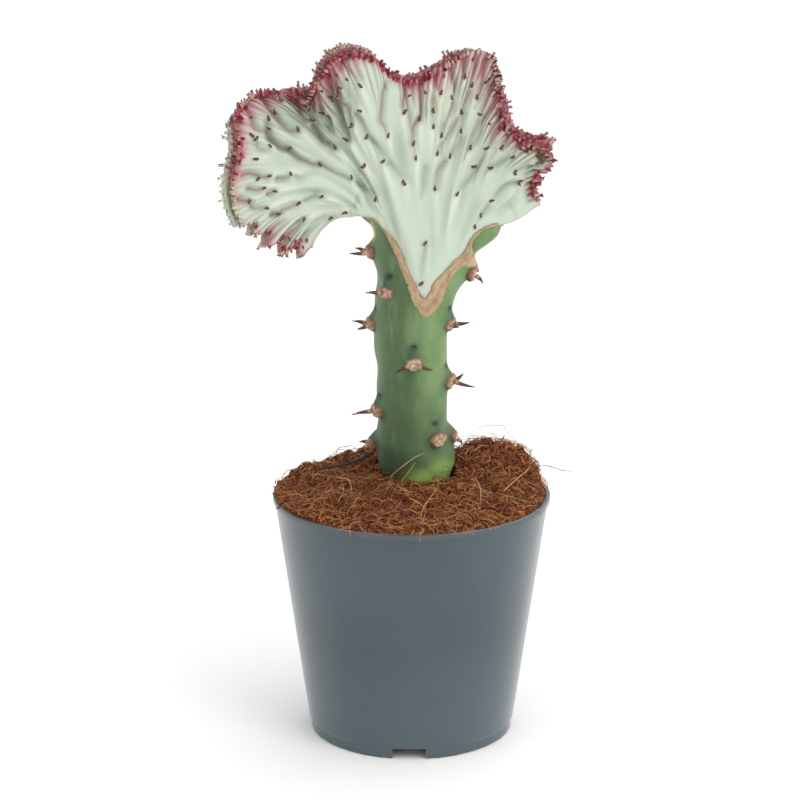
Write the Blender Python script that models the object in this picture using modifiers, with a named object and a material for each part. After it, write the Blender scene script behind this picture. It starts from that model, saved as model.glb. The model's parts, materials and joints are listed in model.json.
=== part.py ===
"""A potted coral cactus: a pale crested euphorbia fan, grafted into the cleft top
of a thick green spiny stem, which stands in coir potting mix in a plain round
nursery pot. Metres, +Z up, front towards -Y, resting on z = 0."""

import math
import random

import bmesh
import bpy
import numpy as np
from mathutils import Matrix, Vector

MM = 0.001
GAP = 0.3 * MM
SEED = 7

# The fan reaches further left than right, so the pot's axis is off the middle
POT_AXIS_X = 9.02 * MM

# Nursery pot
POT_HEIGHT = 92.8 * MM
LIP_RADIUS = 52.5 * MM
LIP_HEIGHT = 2.3 * MM
LIP_PROUD = 0.9 * MM
WALL = 1.2 * MM
BASE_RADIUS = 38.6 * MM
FLOOR_TOP = 5.8 * MM
FLOOR_THICKNESS = 1.4 * MM
FOOT_HEIGHT = 4.6 * MM
FOOT_INSET = 0.7 * MM
FOOT_WIDTH = 2.2 * MM
PAD_HEIGHT = 0.3 * MM
PAD_LENGTH = 8.0 * MM
PAD_TURN = 22
SLOT_COUNT = 4
FIRST_SLOT_TURN = -1.4
SLOT_WIDTH = 12.5 * MM
SLOT_HEIGHT = 4.3 * MM
DRAIN_COUNT = 8
DRAIN_RADIUS = 3.0 * MM
DRAIN_CIRCLE = 20.0 * MM
POT_EDGE_ROUNDING = 0.4 * MM
POT_STEPS = 56

# Potting mix: it domes up to the stem, with a heap at the right and the back
SOIL_EDGE_DROP = 0.6 * MM
SOIL_DOME = 8.4 * MM
DOME_FALL = 1.6
SOIL_SIDES = 44
SOIL_RING_STEPS = (0.0, 0.1, 0.24, 0.4, 0.56, 0.72, 0.86, 0.955, 1.0)
SOIL_LUMP = 0.75 * MM
SOIL_RIPPLE = 1.2 * MM
SOIL_RIPPLE_PITCH = (5.0 * MM, 13.0 * MM)
SOIL_RIPPLE_COUNT = 9
# Heaps of the mix: x, y, reach in x, reach in y and height, in mm
HEAPS = (
    (35.0, 15.0, 20.0, 12.0, 12.0),
    (-12.0, 22.0, 10.0, 11.0, 6.5),
    (-24.0, -24.0, 12.0, 9.0, 1.4),
)
HEAP_STEEPNESS_AT_WALL = 18

# Stem: height, left edge, right edge and half depth, round the pot's axis, in mm
STEM_SECTIONS = (
    (55.0, -4.9, 16.9, 10.9),
    (79.0, -4.9, 16.9, 10.9),
    (103.0, -5.2, 16.9, 10.9),
    (111.0, -9.4, 15.0, 11.6),
    (118.0, -12.2, 13.7, 12.6),
    (127.0, -13.1, 13.6, 13.2),
    (147.0, -13.7, 14.0, 13.7),
    (157.0, -13.7, 14.3, 13.7),
    (167.0, -13.4, 16.0, 13.5),
    (175.0, -13.5, 19.5, 13.0),
    (183.0, -13.9, 23.4, 12.1),
    (191.0, -14.5, 29.6, 10.7),
    (197.0, -16.2, 35.4, 9.4),
    (201.0, -19.8, 40.6, 8.4),
    (205.0, -26.0, 47.0, 7.6),
)
STEM_SIDES = 30
STEM_RING_SPACING = 6.0 * MM

# Spine pairs on the stem: turn from the front in degrees, height in mm
SPINE_PAIRS_SEEN = (
    (-86, 186.5), (-41, 173.8), (-86, 159.6), (3, 147.2), (-84, 126.9),
    (84, 178.7), (82, 161.4), (86, 137.5), (41, 116.2), (88, 114.0), (-96, 110.5),
)
BACK_RANKS = (148, 180, 212)
BACK_RANK_LOWEST = 117.0
BACK_RANK_RISE = 9.5
BACK_SPACING = 30.0
BACK_TOP = 176.0
SHIELD_SIZE = (3.0 * MM, 2.5 * MM, 4.2 * MM)
SHIELD_RISE = 1.0 * MM
SPINE_LENGTH = 7.8 * MM
SPINE_ROOT = 2.0 * MM
SPINE_RADIUS = 0.85 * MM
SPINE_BASE_OUT = 1.6 * MM
SPINE_BASE_ASIDE = 0.8 * MM
SPINE_SPREAD = 38
SPINE_SPREAD_SWAY = 7
SPINE_DROOP = 12
SPINE_DROOP_SWAY = 6
SPINE_PAIR_TILT = 22

# Graft: both edges of the corky seam, x and z in mm, left to right
SEAM_STEM_SIDE = (
    (-20.6, 201.2), (-10.0, 195.0), (-6.8, 188.5), (-4.0, 179.9), (-1.2, 171.9),
    (2.0, 166.2), (5.2, 163.7), (8.4, 165.3), (11.7, 169.2), (13.7, 174.8),
    (16.4, 180.1), (22.5, 187.3), (26.8, 192.8), (33.3, 196.2),
)
SEAM_FAN_SIDE = (
    (-20.6, 203.0), (-11.1, 198.9), (-7.0, 194.8), (-4.4, 189.6), (-1.6, 184.0),
    (1.4, 178.4), (3.9, 175.0), (6.0, 175.1), (8.2, 177.6), (12.0, 181.5),
    (16.4, 185.6), (20.6, 191.2), (25.5, 196.2), (33.3, 198.2),
)
SEAM_PROUD = 0.5 * MM
SEAM_REACH = 24.0 * MM
# The cut for the seam runs on past its left and right ends
SEAM_OVERRUN = (0.5 * MM, 1.5 * MM)
CALLUS_LOWEST = 158.0 * MM
# The shapes that cut along the seam run this far aside, up and down
CUT_ASIDE = 60.0 * MM
CUT_TOP = 240.0 * MM
CUT_BOTTOM = 150.0 * MM

# Growing edge of the fan: x, depth y and z in mm, from lower left over the top
EDGE_POINTS = (
    (-37.0, -7.0, 187.4), (-45.8, -6.0, 188.6), (-52.0, -7.0, 191.2),
    (-58.2, -8.0, 196.2), (-64.6, -9.0, 201.2), (-67.2, -10.0, 213.6),
    (-64.8, -9.0, 227.0), (-65.2, -6.0, 238.0), (-59.0, 1.0, 243.2),
    (-47.1, 7.5, 245.2), (-38.2, 2.6, 245.6), (-34.0, -7.0, 255.4),
    (-26.4, -11.0, 263.0), (-17.0, -8.5, 261.0), (-9.8, -5.0, 253.8),
    (-0.5, -1.0, 249.9), (9.7, 3.0, 254.2), (20.0, 10.0, 259.2),
    (29.0, 12.0, 256.4), (32.9, 8.0, 245.7), (34.9, 0.0, 236.6),
    (41.8, -7.0, 233.6), (49.8, -8.0, 230.6), (50.4, -5.0, 226.2),
    (46.8, 3.0, 218.3), (45.2, 7.0, 211.0), (48.0, 4.0, 201.4),
)
# How far the edge curls forward, in mm, for evenly spaced places round it
EDGE_CURL = (
    0.0, 2.0, 6.5, 7.0, 6.0, 2.0, 1.0, 3.0, 5.0, 4.5, 2.0,
    0.5, 0.0, 0.0, 0.0, 0.0, 1.0, 4.0, 4.0, 1.0, 0.0,
)
CURL_SHARPNESS = 8
LEAN_SHARPNESS = 2.5

# Rays of the fan, in mm: foot x and z, the place each lifts through, then its turn outwards
RAYS = (
    (-13.0, 183.0, -14.0, 205.0, -32.0, 203.4),
    (-11.0, 180.0, -12.0, 210.0, -40.0, 215.0),
    (-9.0, 176.0, -10.5, 211.0, -37.0, 222.0),
    (-6.5, 171.0, -8.0, 209.0, -30.0, 230.0),
    (-3.0, 166.0, -5.0, 205.0, -20.0, 233.0),
    (2.0, 162.5, -1.0, 201.0, -10.0, 236.0),
    (7.0, 162.5, 4.0, 198.0, 1.5, 229.0),
    (11.0, 166.0, 9.5, 197.0, 13.0, 229.0),
    (15.0, 171.0, 15.0, 197.0, 24.0, 222.0),
    (19.0, 176.0, 21.0, 197.0, 33.0, 214.0),
    (22.5, 179.0, 28.8, 192.4, 39.8, 197.8),
)
FAN_HALF_THICKNESS = (
    (0.0, 13.6), (0.1, 13.1), (0.2, 12.0), (0.3, 9.6), (0.4, 7.6), (0.5, 6.2),
    (0.6, 5.3), (0.7, 4.6), (0.8, 4.2), (0.9, 3.8), (1.0, 3.6),
)
# The fan takes over from the stem's own shape within this height above the seam
SEAM_BLEND = 11.0 * MM
THINNEST_SHARE = 0.7
# How near either side of the fan it rounds off, and how far out along its rays that holds
SIDE_ROUNDING = ((0.0, 0.4), (0.3, 0.12), (0.5, 0.05), (1.0, 0.03))
# Rows further in follow an edge that is rounded off over this share of its length
EDGE_SMOOTHING = 0.075
FACING_SMOOTHING = 7
TOOTH_COUNT = 140
TOOTH_LENGTH = 1.8 * MM
TOOTH_VARIATION = 0.3
TOOTH_VALLEY = 0.7 * MM
NOTCH_THICKNESS_SHARE = 0.72
SHORT_TOOTH_SHARE = 0.35
SHORT_TEETH_FROM = 0.955
GROWING_LINE_DEPTH = 0.7 * MM
# Each row of the fan: how far out along its rays, and how many half teeth a column spans
FAN_ROWS = (
    (0.0, 8), (0.1, 8), (0.2, 8), (0.3, 8), (0.42, 4), (0.52, 4), (0.62, 4),
    (0.72, 2), (0.82, 2), (0.91, 1), (0.97, 1),
)
# Ridges on the face: how many, height in mm, and where along the rays they begin and end
RIDGES = ((9, 0.6, 0.2, 0.8), (35, 0.5, 0.4, 0.9), (70, 0.5, 0.66, 1.2), (140, 0.3, 0.86, 1.2))
RIDGE_FADE = 0.15
RIDGE_FREE_SIDE = (0.01, 0.05)
# The ridges crowd and spread a little round the edge
CROWDING = ((5, 0.004, 1.0), (11, 0.0025, 2.0))
# Finger-like lobes at the lower left
FINGER_COUNT = 4
FINGER_SPAN = 0.12
FINGER_HEIGHT = 2.2 * MM
FINGER_SHARPNESS = 6

# Small spines on the fan's face
FAN_SPINE_RADIUS = 0.42 * MM
FAN_SPINE_LENGTH = 1.4 * MM
FAN_SPINE_ROOT = 1.0 * MM
FAN_SPINE_ROWS = (0.36, 0.46, 0.56, 0.65, 0.73, 0.8, 0.865, 0.925)
FAN_SPINE_SPACING = 13.0 * MM
FAN_SPINE_MARGIN = 0.04
FAN_SPINE_SWAY = (0.01, 0.02)
FAN_SPINE_CLEAR_OF_SEAM = 0.4
FAN_SPINE_FORWARD = 0.8
FAN_SPINE_OUTWARD = 0.6


def srgb(hex_colour):
    """A hex colour as the linear values that a shader takes."""
    channels = [int(hex_colour[i:i + 2], 16) / 255 for i in (1, 3, 5)]
    linear = [c / 12.92 if c <= 0.04045 else ((c + 0.055) / 1.055) ** 2.4 for c in channels]
    return (*linear, 1.0)


def make_material(name, hex_colour, roughness):
    material = bpy.data.materials.new(name)
    material.use_nodes = True
    shader = material.node_tree.nodes["Principled BSDF"]
    shader.inputs["Base Color"].default_value = srgb(hex_colour)
    shader.inputs["Roughness"].default_value = roughness
    shader.inputs["Metallic"].default_value = 0.0
    material.diffuse_color = srgb(hex_colour)
    return material


def new_object(name, mesh, collection):
    obj = bpy.data.objects.new(name, mesh)
    collection.objects.link(obj)
    return obj


def mesh_object(name, bm, collection):
    """Turn a bmesh into an object, with its faces pointing out."""
    bmesh.ops.recalc_face_normals(bm, faces=bm.faces)
    mesh = bpy.data.meshes.new(name)
    bm.to_mesh(mesh)
    bm.free()
    return new_object(name, mesh, collection)


def bake(obj):
    """Apply every modifier on an object."""
    bpy.context.view_layer.update()
    evaluated = obj.evaluated_get(bpy.context.evaluated_depsgraph_get())
    baked = bpy.data.meshes.new_from_object(evaluated)
    obj.modifiers.clear()
    obj.data = baked


def combine(obj, tools, operation, solver="EXACT"):
    """One Boolean of an object with a whole collection, whose objects are then removed."""
    modifier = obj.modifiers.new(operation.title(), "BOOLEAN")
    modifier.operand_type = "COLLECTION"
    modifier.collection = tools
    modifier.operation = operation
    modifier.solver = solver
    bake(obj)
    for tool in list(tools.objects):
        bpy.data.objects.remove(tool)


def new_cutters(name):
    """A fresh collection for the shapes that cut or join an object."""
    collection = bpy.data.collections.new(name)
    bpy.context.scene.collection.children.link(collection)
    return collection


def as_tool(collection):
    """Move the primitive just added to a collection of tools, and hide it from renders."""
    obj = bpy.context.object
    for owner in list(obj.users_collection):
        owner.objects.unlink(obj)
    collection.objects.link(obj)
    obj.hide_render = True
    obj.display_type = "WIRE"
    return obj


def catmull_rom(points, per_span):
    """A smooth run of points through the given ones."""
    given = np.array(points, dtype=float)
    padded = np.vstack([2 * given[0] - given[1], given, 2 * given[-1] - given[-2]])
    t = np.arange(per_span)[:, None] / per_span
    spans = []
    for before, start, end, after in zip(padded, padded[1:], padded[2:], padded[3:]):
        straight = (end - before) * t
        bend = (2 * before - 5 * start + 4 * end - after) * t ** 2
        twist = (3 * start - before - 3 * end + after) * t ** 3
        spans.append(0.5 * (2 * start + straight + bend + twist))
    return np.vstack(spans + [given[-1:]])


def evenly_spaced(points, count):
    """The same curve with its points at equal distances."""
    steps = np.linalg.norm(np.diff(points, axis=0), axis=1)
    reached = np.concatenate([[0], np.cumsum(steps)])
    wanted = np.linspace(0, reached[-1], count)
    return np.column_stack([np.interp(wanted, reached, points[:, k]) for k in range(points.shape[1])])


def smoothed(points, sigma):
    """Round a curve off with a bell of the given width, in samples, keeping its ends."""
    if sigma < 0.5:
        return points
    reach = int(3 * sigma)
    bell = np.exp(-0.5 * (np.arange(-reach, reach + 1) / sigma) ** 2)
    bell /= bell.sum()
    head = 2 * points[0] - points[reach:0:-1]
    tail = 2 * points[-1] - points[-2:-reach - 2:-1]
    longer = np.vstack([head, points, tail])
    return np.column_stack([np.convolve(longer[:, k], bell, "valid") for k in range(points.shape[1])])


def crowded(u):
    """Places round the fan's edge, drawn together here and there, with both ends kept."""
    moved = u + sum(height * np.sin(math.tau * count * u + phase) for count, height, phase in CROWDING)
    first = sum(height * math.sin(phase) for count, height, phase in CROWDING)
    return moved - first


def unit(vectors):
    return vectors / np.linalg.norm(vectors, axis=1)[:, None]


def smoothstep(value, start=0.0, end=1.0):
    t = np.clip((value - start) / (end - start), 0, 1)
    return t * t * (3 - 2 * t)


STEM_TABLE = catmull_rom(STEM_SECTIONS, 8) * MM


def stem_section(z):
    """Middle x, half width and half depth of the stem at a height."""
    left, right, depth = (np.interp(z, STEM_TABLE[:, 0], STEM_TABLE[:, k]) for k in (1, 2, 3))
    return (left + right) / 2, (right - left) / 2, depth


def stem_half_depth(x, z):
    middle, half_width, depth = stem_section(z)
    across = np.clip(np.abs(x - middle) / half_width, 0, 1)
    return depth * np.sqrt(1 - across ** 2)


def stem_point(turn, z, grow=0.0):
    """A point of the stem's skin and its outward direction; turn 0 is the front."""
    middle, half_width, depth = stem_section(z)
    side, front = math.sin(turn), -math.cos(turn)
    outward = Vector((side / half_width, front / depth, 0)).normalized()
    return Vector((middle + half_width * side, depth * front, z)) + outward * grow, outward


def ring_loft(rings):
    """A closed solid through rings of equal point count, capped at both ends."""
    bm = bmesh.new()
    loops = [[bm.verts.new(point) for point in ring] for ring in rings]
    for lower, upper in zip(loops, loops[1:]):
        for i, j in zip(range(len(lower)), [*range(1, len(lower)), 0]):
            bm.faces.new((lower[i], lower[j], upper[j], upper[i]))
    bm.faces.new(list(reversed(loops[0])))
    bm.faces.new(loops[-1])
    return bm


def outline_prism(name, outline, half_depth, collection):
    """A flat outline in x and z, given its depth to front and back, as a mesh."""
    curve = bpy.data.curves.new(name, "CURVE")
    curve.dimensions = "2D"
    curve.fill_mode = "BOTH"
    curve.extrude = half_depth
    spline = curve.splines.new("POLY")
    spline.points.add(len(outline) - 1)
    for point, (x, z) in zip(spline.points, outline):
        point.co = (x, z, 0, 1)
    spline.use_cyclic_u = True
    flat = new_object(name + "_outline", curve, collection)
    flat.rotation_euler = (math.pi / 2, 0, 0)
    bpy.context.view_layer.update()
    mesh = bpy.data.meshes.new_from_object(flat.evaluated_get(bpy.context.evaluated_depsgraph_get()))
    bm = bmesh.new()
    bm.from_mesh(mesh)
    bmesh.ops.remove_doubles(bm, verts=bm.verts, dist=0.01 * MM)
    bm.transform(flat.matrix_world)
    bpy.data.objects.remove(flat)
    prism = mesh_object(name, bm, collection)
    prism.hide_render = True
    prism.display_type = "WIRE"
    return prism


def seam_line(line, distance, overrun=(0, 0)):
    """One side of the seam, shifted to its left as it runs and made longer at its ends."""
    points = np.array(line) * MM
    along = unit(np.gradient(points, axis=0))
    points[0] -= along[0] * overrun[0]
    points[-1] += along[-1] * overrun[1]
    return points + distance * np.column_stack([-along[:, 1], along[:, 0]])


def needle(base, direction, length, root, radius, sides, collection):
    """One spine: a slim cone whose root is sunk into what it grows from."""
    direction = direction.normalized()
    bpy.ops.mesh.primitive_cone_add(vertices=sides, radius1=radius, radius2=0, depth=length + root)
    cone = as_tool(collection)
    cone.location = base + direction * (length - root) / 2
    cone.rotation_euler = direction.to_track_quat("Z", "Y").to_euler()


def wall_radius(z):
    """Outer radius of the pot's tapered wall."""
    top = LIP_RADIUS - LIP_PROUD
    return BASE_RADIUS + (top - BASE_RADIUS) * z / POT_HEIGHT


def pot_profile():
    """The wall's section, from the middle of the floor up the inside and down the outside."""
    edge = POT_EDGE_ROUNDING
    lip_bottom = POT_HEIGHT - LIP_HEIGHT
    foot = wall_radius(FOOT_HEIGHT) - FOOT_INSET
    floor_bottom = FLOOR_TOP - FLOOR_THICKNESS
    inner_top = wall_radius(POT_HEIGHT) - WALL
    return (
        (0, FLOOR_TOP),
        (wall_radius(FLOOR_TOP) - WALL - 2 * MM, FLOOR_TOP),
        (wall_radius(FLOOR_TOP + 2 * MM) - WALL, FLOOR_TOP + 2 * MM),
        (inner_top, POT_HEIGHT - edge),
        (inner_top + edge, POT_HEIGHT),
        (LIP_RADIUS - edge, POT_HEIGHT),
        (LIP_RADIUS, POT_HEIGHT - edge),
        (LIP_RADIUS, lip_bottom + edge),
        (LIP_RADIUS - edge, lip_bottom),
        (wall_radius(lip_bottom), lip_bottom),
        (wall_radius(FOOT_HEIGHT), FOOT_HEIGHT),
        (foot, FOOT_HEIGHT - edge),
        (foot, PAD_HEIGHT),
        (foot - FOOT_WIDTH, PAD_HEIGHT),
        (foot - FOOT_WIDTH, floor_bottom),
        (0, floor_bottom),
    )


def block_on_foot(degrees, out, z, size, collection):
    """A box set across the pot's foot ring; 0 degrees is the front."""
    turn = math.radians(degrees)
    bpy.ops.mesh.primitive_cube_add(size=1)
    block = as_tool(collection)
    block.scale = size
    block.rotation_euler = (0, 0, turn)
    block.location = (math.sin(turn) * out, -math.cos(turn) * out, z)


def make_pot(collection):
    bm = bmesh.new()
    profile = [bm.verts.new((r, 0, z)) for r, z in pot_profile()]
    for start, end in zip(profile, profile[1:]):
        bm.edges.new((start, end))
    mesh = bpy.data.meshes.new("pot")
    bm.to_mesh(mesh)
    bm.free()
    pot = new_object("pot", mesh, collection)
    turned = pot.modifiers.new("Turned wall", "SCREW")
    turned.axis = "Z"
    turned.steps = POT_STEPS
    turned.render_steps = POT_STEPS
    turned.use_merge_vertices = True
    turned.merge_threshold = 0.02 * MM
    bake(pot)

    foot_middle = wall_radius(FOOT_HEIGHT) - FOOT_INSET - FOOT_WIDTH / 2
    pads = new_cutters("foot pads")
    cutters = new_cutters("pot cutters")
    for slot in range(SLOT_COUNT):
        turn = FIRST_SLOT_TURN + slot * 360 / SLOT_COUNT
        notch_size = (SLOT_WIDTH, 10 * MM, 2 * SLOT_HEIGHT)
        block_on_foot(turn, foot_middle, 0, notch_size, cutters)
        for side in (-1, 1):
            pad_size = (PAD_LENGTH, FOOT_WIDTH * 0.6, 3 * PAD_HEIGHT)
            block_on_foot(turn + side * PAD_TURN, foot_middle, 1.5 * PAD_HEIGHT, pad_size, pads)
    combine(pot, pads, "UNION")

    for hole in range(DRAIN_COUNT + 1):
        turn = (hole + 0.5) * math.tau / DRAIN_COUNT
        out = DRAIN_CIRCLE if hole < DRAIN_COUNT else 0
        bpy.ops.mesh.primitive_cylinder_add(vertices=10, radius=DRAIN_RADIUS, depth=6 * MM)
        drain = as_tool(cutters)
        drain.location = (math.sin(turn) * out, -math.cos(turn) * out, FLOOR_TOP)
    combine(pot, cutters, "DIFFERENCE")
    pot.data.shade_smooth()
    pot.data.set_sharp_from_angle(angle=math.radians(30))
    return pot


def lump(x, y, waves):
    """Height of the crumbly surface above its dome, from a few crossed ripples."""
    return sum(math.sin(kx * x + ky * y + phase) for kx, ky, phase in waves) / len(waves)


def make_soil(collection):
    """Potting mix that fills the pot, with a plain round hole for the stem."""
    draw = random.Random(SEED)
    waves = []
    for _ in range(SOIL_RIPPLE_COUNT):
        heading = draw.uniform(0, math.tau)
        wave = math.tau / draw.uniform(*SOIL_RIPPLE_PITCH)
        waves.append((wave * math.cos(heading), wave * math.sin(heading), draw.uniform(0, math.tau)))

    hole_x, hole_radius, _ = stem_section(STEM_SECTIONS[0][0] * MM)
    hole_radius += GAP
    hole_bottom = STEM_SECTIONS[0][0] * MM - GAP
    edge_height = POT_HEIGHT - SOIL_EDGE_DROP
    outer_radius = wall_radius(edge_height) - WALL - GAP
    turns = [i * math.tau / SOIL_SIDES for i in range(SOIL_SIDES)]

    def circle(x, radius, z):
        return [(x + radius * math.cos(t), radius * math.sin(t), z) for t in turns]

    floor = FLOOR_TOP + GAP
    corner = floor + 2 * MM
    rings = [
        circle(0, wall_radius(floor) - WALL - 2 * MM - 2 * GAP, floor),
        circle(0, wall_radius(corner) - WALL - GAP, corner),
        circle(0, outer_radius, edge_height),
    ]
    for share in reversed(SOIL_RING_STEPS[:-1]):
        ring = []
        for t in turns:
            x = (1 - share) * (hole_x + hole_radius * math.cos(t)) + share * outer_radius * math.cos(t)
            y = (1 - share) * hole_radius * math.sin(t) + share * outer_radius * math.sin(t)
            z = edge_height + SOIL_DOME * (1 - share ** DOME_FALL)
            if share > 0:
                z += SOIL_RIPPLE * lump(x, y, waves) + draw.uniform(-0.5, 0.5) * SOIL_LUMP
            for heap in HEAPS:
                heap_x, heap_y, reach_x, reach_y, height = (value * MM for value in heap)
                near = math.exp(-((x - heap_x) / reach_x) ** 2 - ((y - heap_y) / reach_y) ** 2)
                z += height * near * min(1, HEAP_STEEPNESS_AT_WALL * (1 - share))
            ring.append((x, y, z))
        rings.append(ring)
    rings.append(circle(hole_x, hole_radius, hole_bottom))
    soil = mesh_object("soil", ring_loft(rings), collection)
    return soil


def stem_loft(grow, lowest):
    """The stem's smooth body, from a height up into the graft."""
    top = STEM_SECTIONS[-1][0] * MM
    count = max(2, round((top - lowest) / STEM_RING_SPACING)) + 1
    rings = []
    for z in np.linspace(lowest, top, count):
        turns = [i * math.tau / STEM_SIDES for i in range(STEM_SIDES)]
        rings.append([stem_point(t, float(z), grow)[0] for t in turns])
    return ring_loft(rings)


def spine_places():
    """Turn and height of every spine pair: those seen, then ranks round the back."""
    places = list(SPINE_PAIRS_SEEN)
    for rank, turn in enumerate(BACK_RANKS):
        height = BACK_RANK_LOWEST + BACK_RANK_RISE * rank
        while height < BACK_TOP:
            places.append((turn, height))
            height += BACK_SPACING
    return [(math.radians(turn), height * MM) for turn, height in places]


def make_rootstock(collection):
    """The green stem with its cleft top, its spine shields and their spine pairs."""
    rootstock = mesh_object("rootstock", stem_loft(0, STEM_SECTIONS[0][0] * MM), collection)
    seam = seam_line(SEAM_STEM_SIDE, -GAP)
    left, right = (-CUT_ASIDE, seam[0][1]), (CUT_ASIDE, seam[-1][1])
    above = [left, *seam, right, (CUT_ASIDE, CUT_TOP), (-CUT_ASIDE, CUT_TOP)]
    cleft = new_cutters("cleft")
    outline_prism("above_cleft", above, SEAM_REACH, cleft)
    combine(rootstock, cleft, "DIFFERENCE")

    draw = random.Random(SEED + 1)
    growths = new_cutters("stem growths")
    for turn, z in spine_places():
        point, outward = stem_point(turn, z)
        across = Vector((-outward.y, outward.x, 0))
        bpy.ops.mesh.primitive_uv_sphere_add(segments=8, ring_count=5, radius=1)
        shield = as_tool(growths)
        frame = Matrix((across, outward, Vector((0, 0, 1)))).transposed()
        shield.rotation_euler = frame.to_euler()
        shield.scale = SHIELD_SIZE
        shield.location = point + Vector((0, 0, SHIELD_RISE))
        tilt = draw.uniform(-1, 1) * SPINE_PAIR_TILT
        for side in (-1, 1):
            spread = math.radians(SPINE_SPREAD + draw.uniform(-1, 1) * SPINE_SPREAD_SWAY)
            droop = math.radians(SPINE_DROOP + draw.uniform(-1, 1) * SPINE_DROOP_SWAY + side * tilt)
            direction = outward * math.cos(spread) + across * (side * math.sin(spread))
            direction.z = -math.sin(droop)
            base = point + outward * SPINE_BASE_OUT + across * (side * SPINE_BASE_ASIDE)
            length = SPINE_LENGTH * draw.uniform(0.9, 1.1)
            needle(base, direction, length, SPINE_ROOT, SPINE_RADIUS, 5, growths)
    combine(rootstock, growths, "UNION", "MANIFOLD")
    return rootstock


def make_callus(collection):
    """The corky seam of healed tissue between stem and fan."""
    stem_side = np.array(SEAM_STEM_SIDE) * MM
    fan_side = np.array(SEAM_FAN_SIDE) * MM
    callus = mesh_object("graft_callus", stem_loft(SEAM_PROUD, CALLUS_LOWEST), collection)
    seam = new_cutters("seam")
    outline_prism("seam_band", [*stem_side, *fan_side[::-1]], SEAM_REACH, seam)
    combine(callus, seam, "INTERSECT")
    return callus


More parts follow.
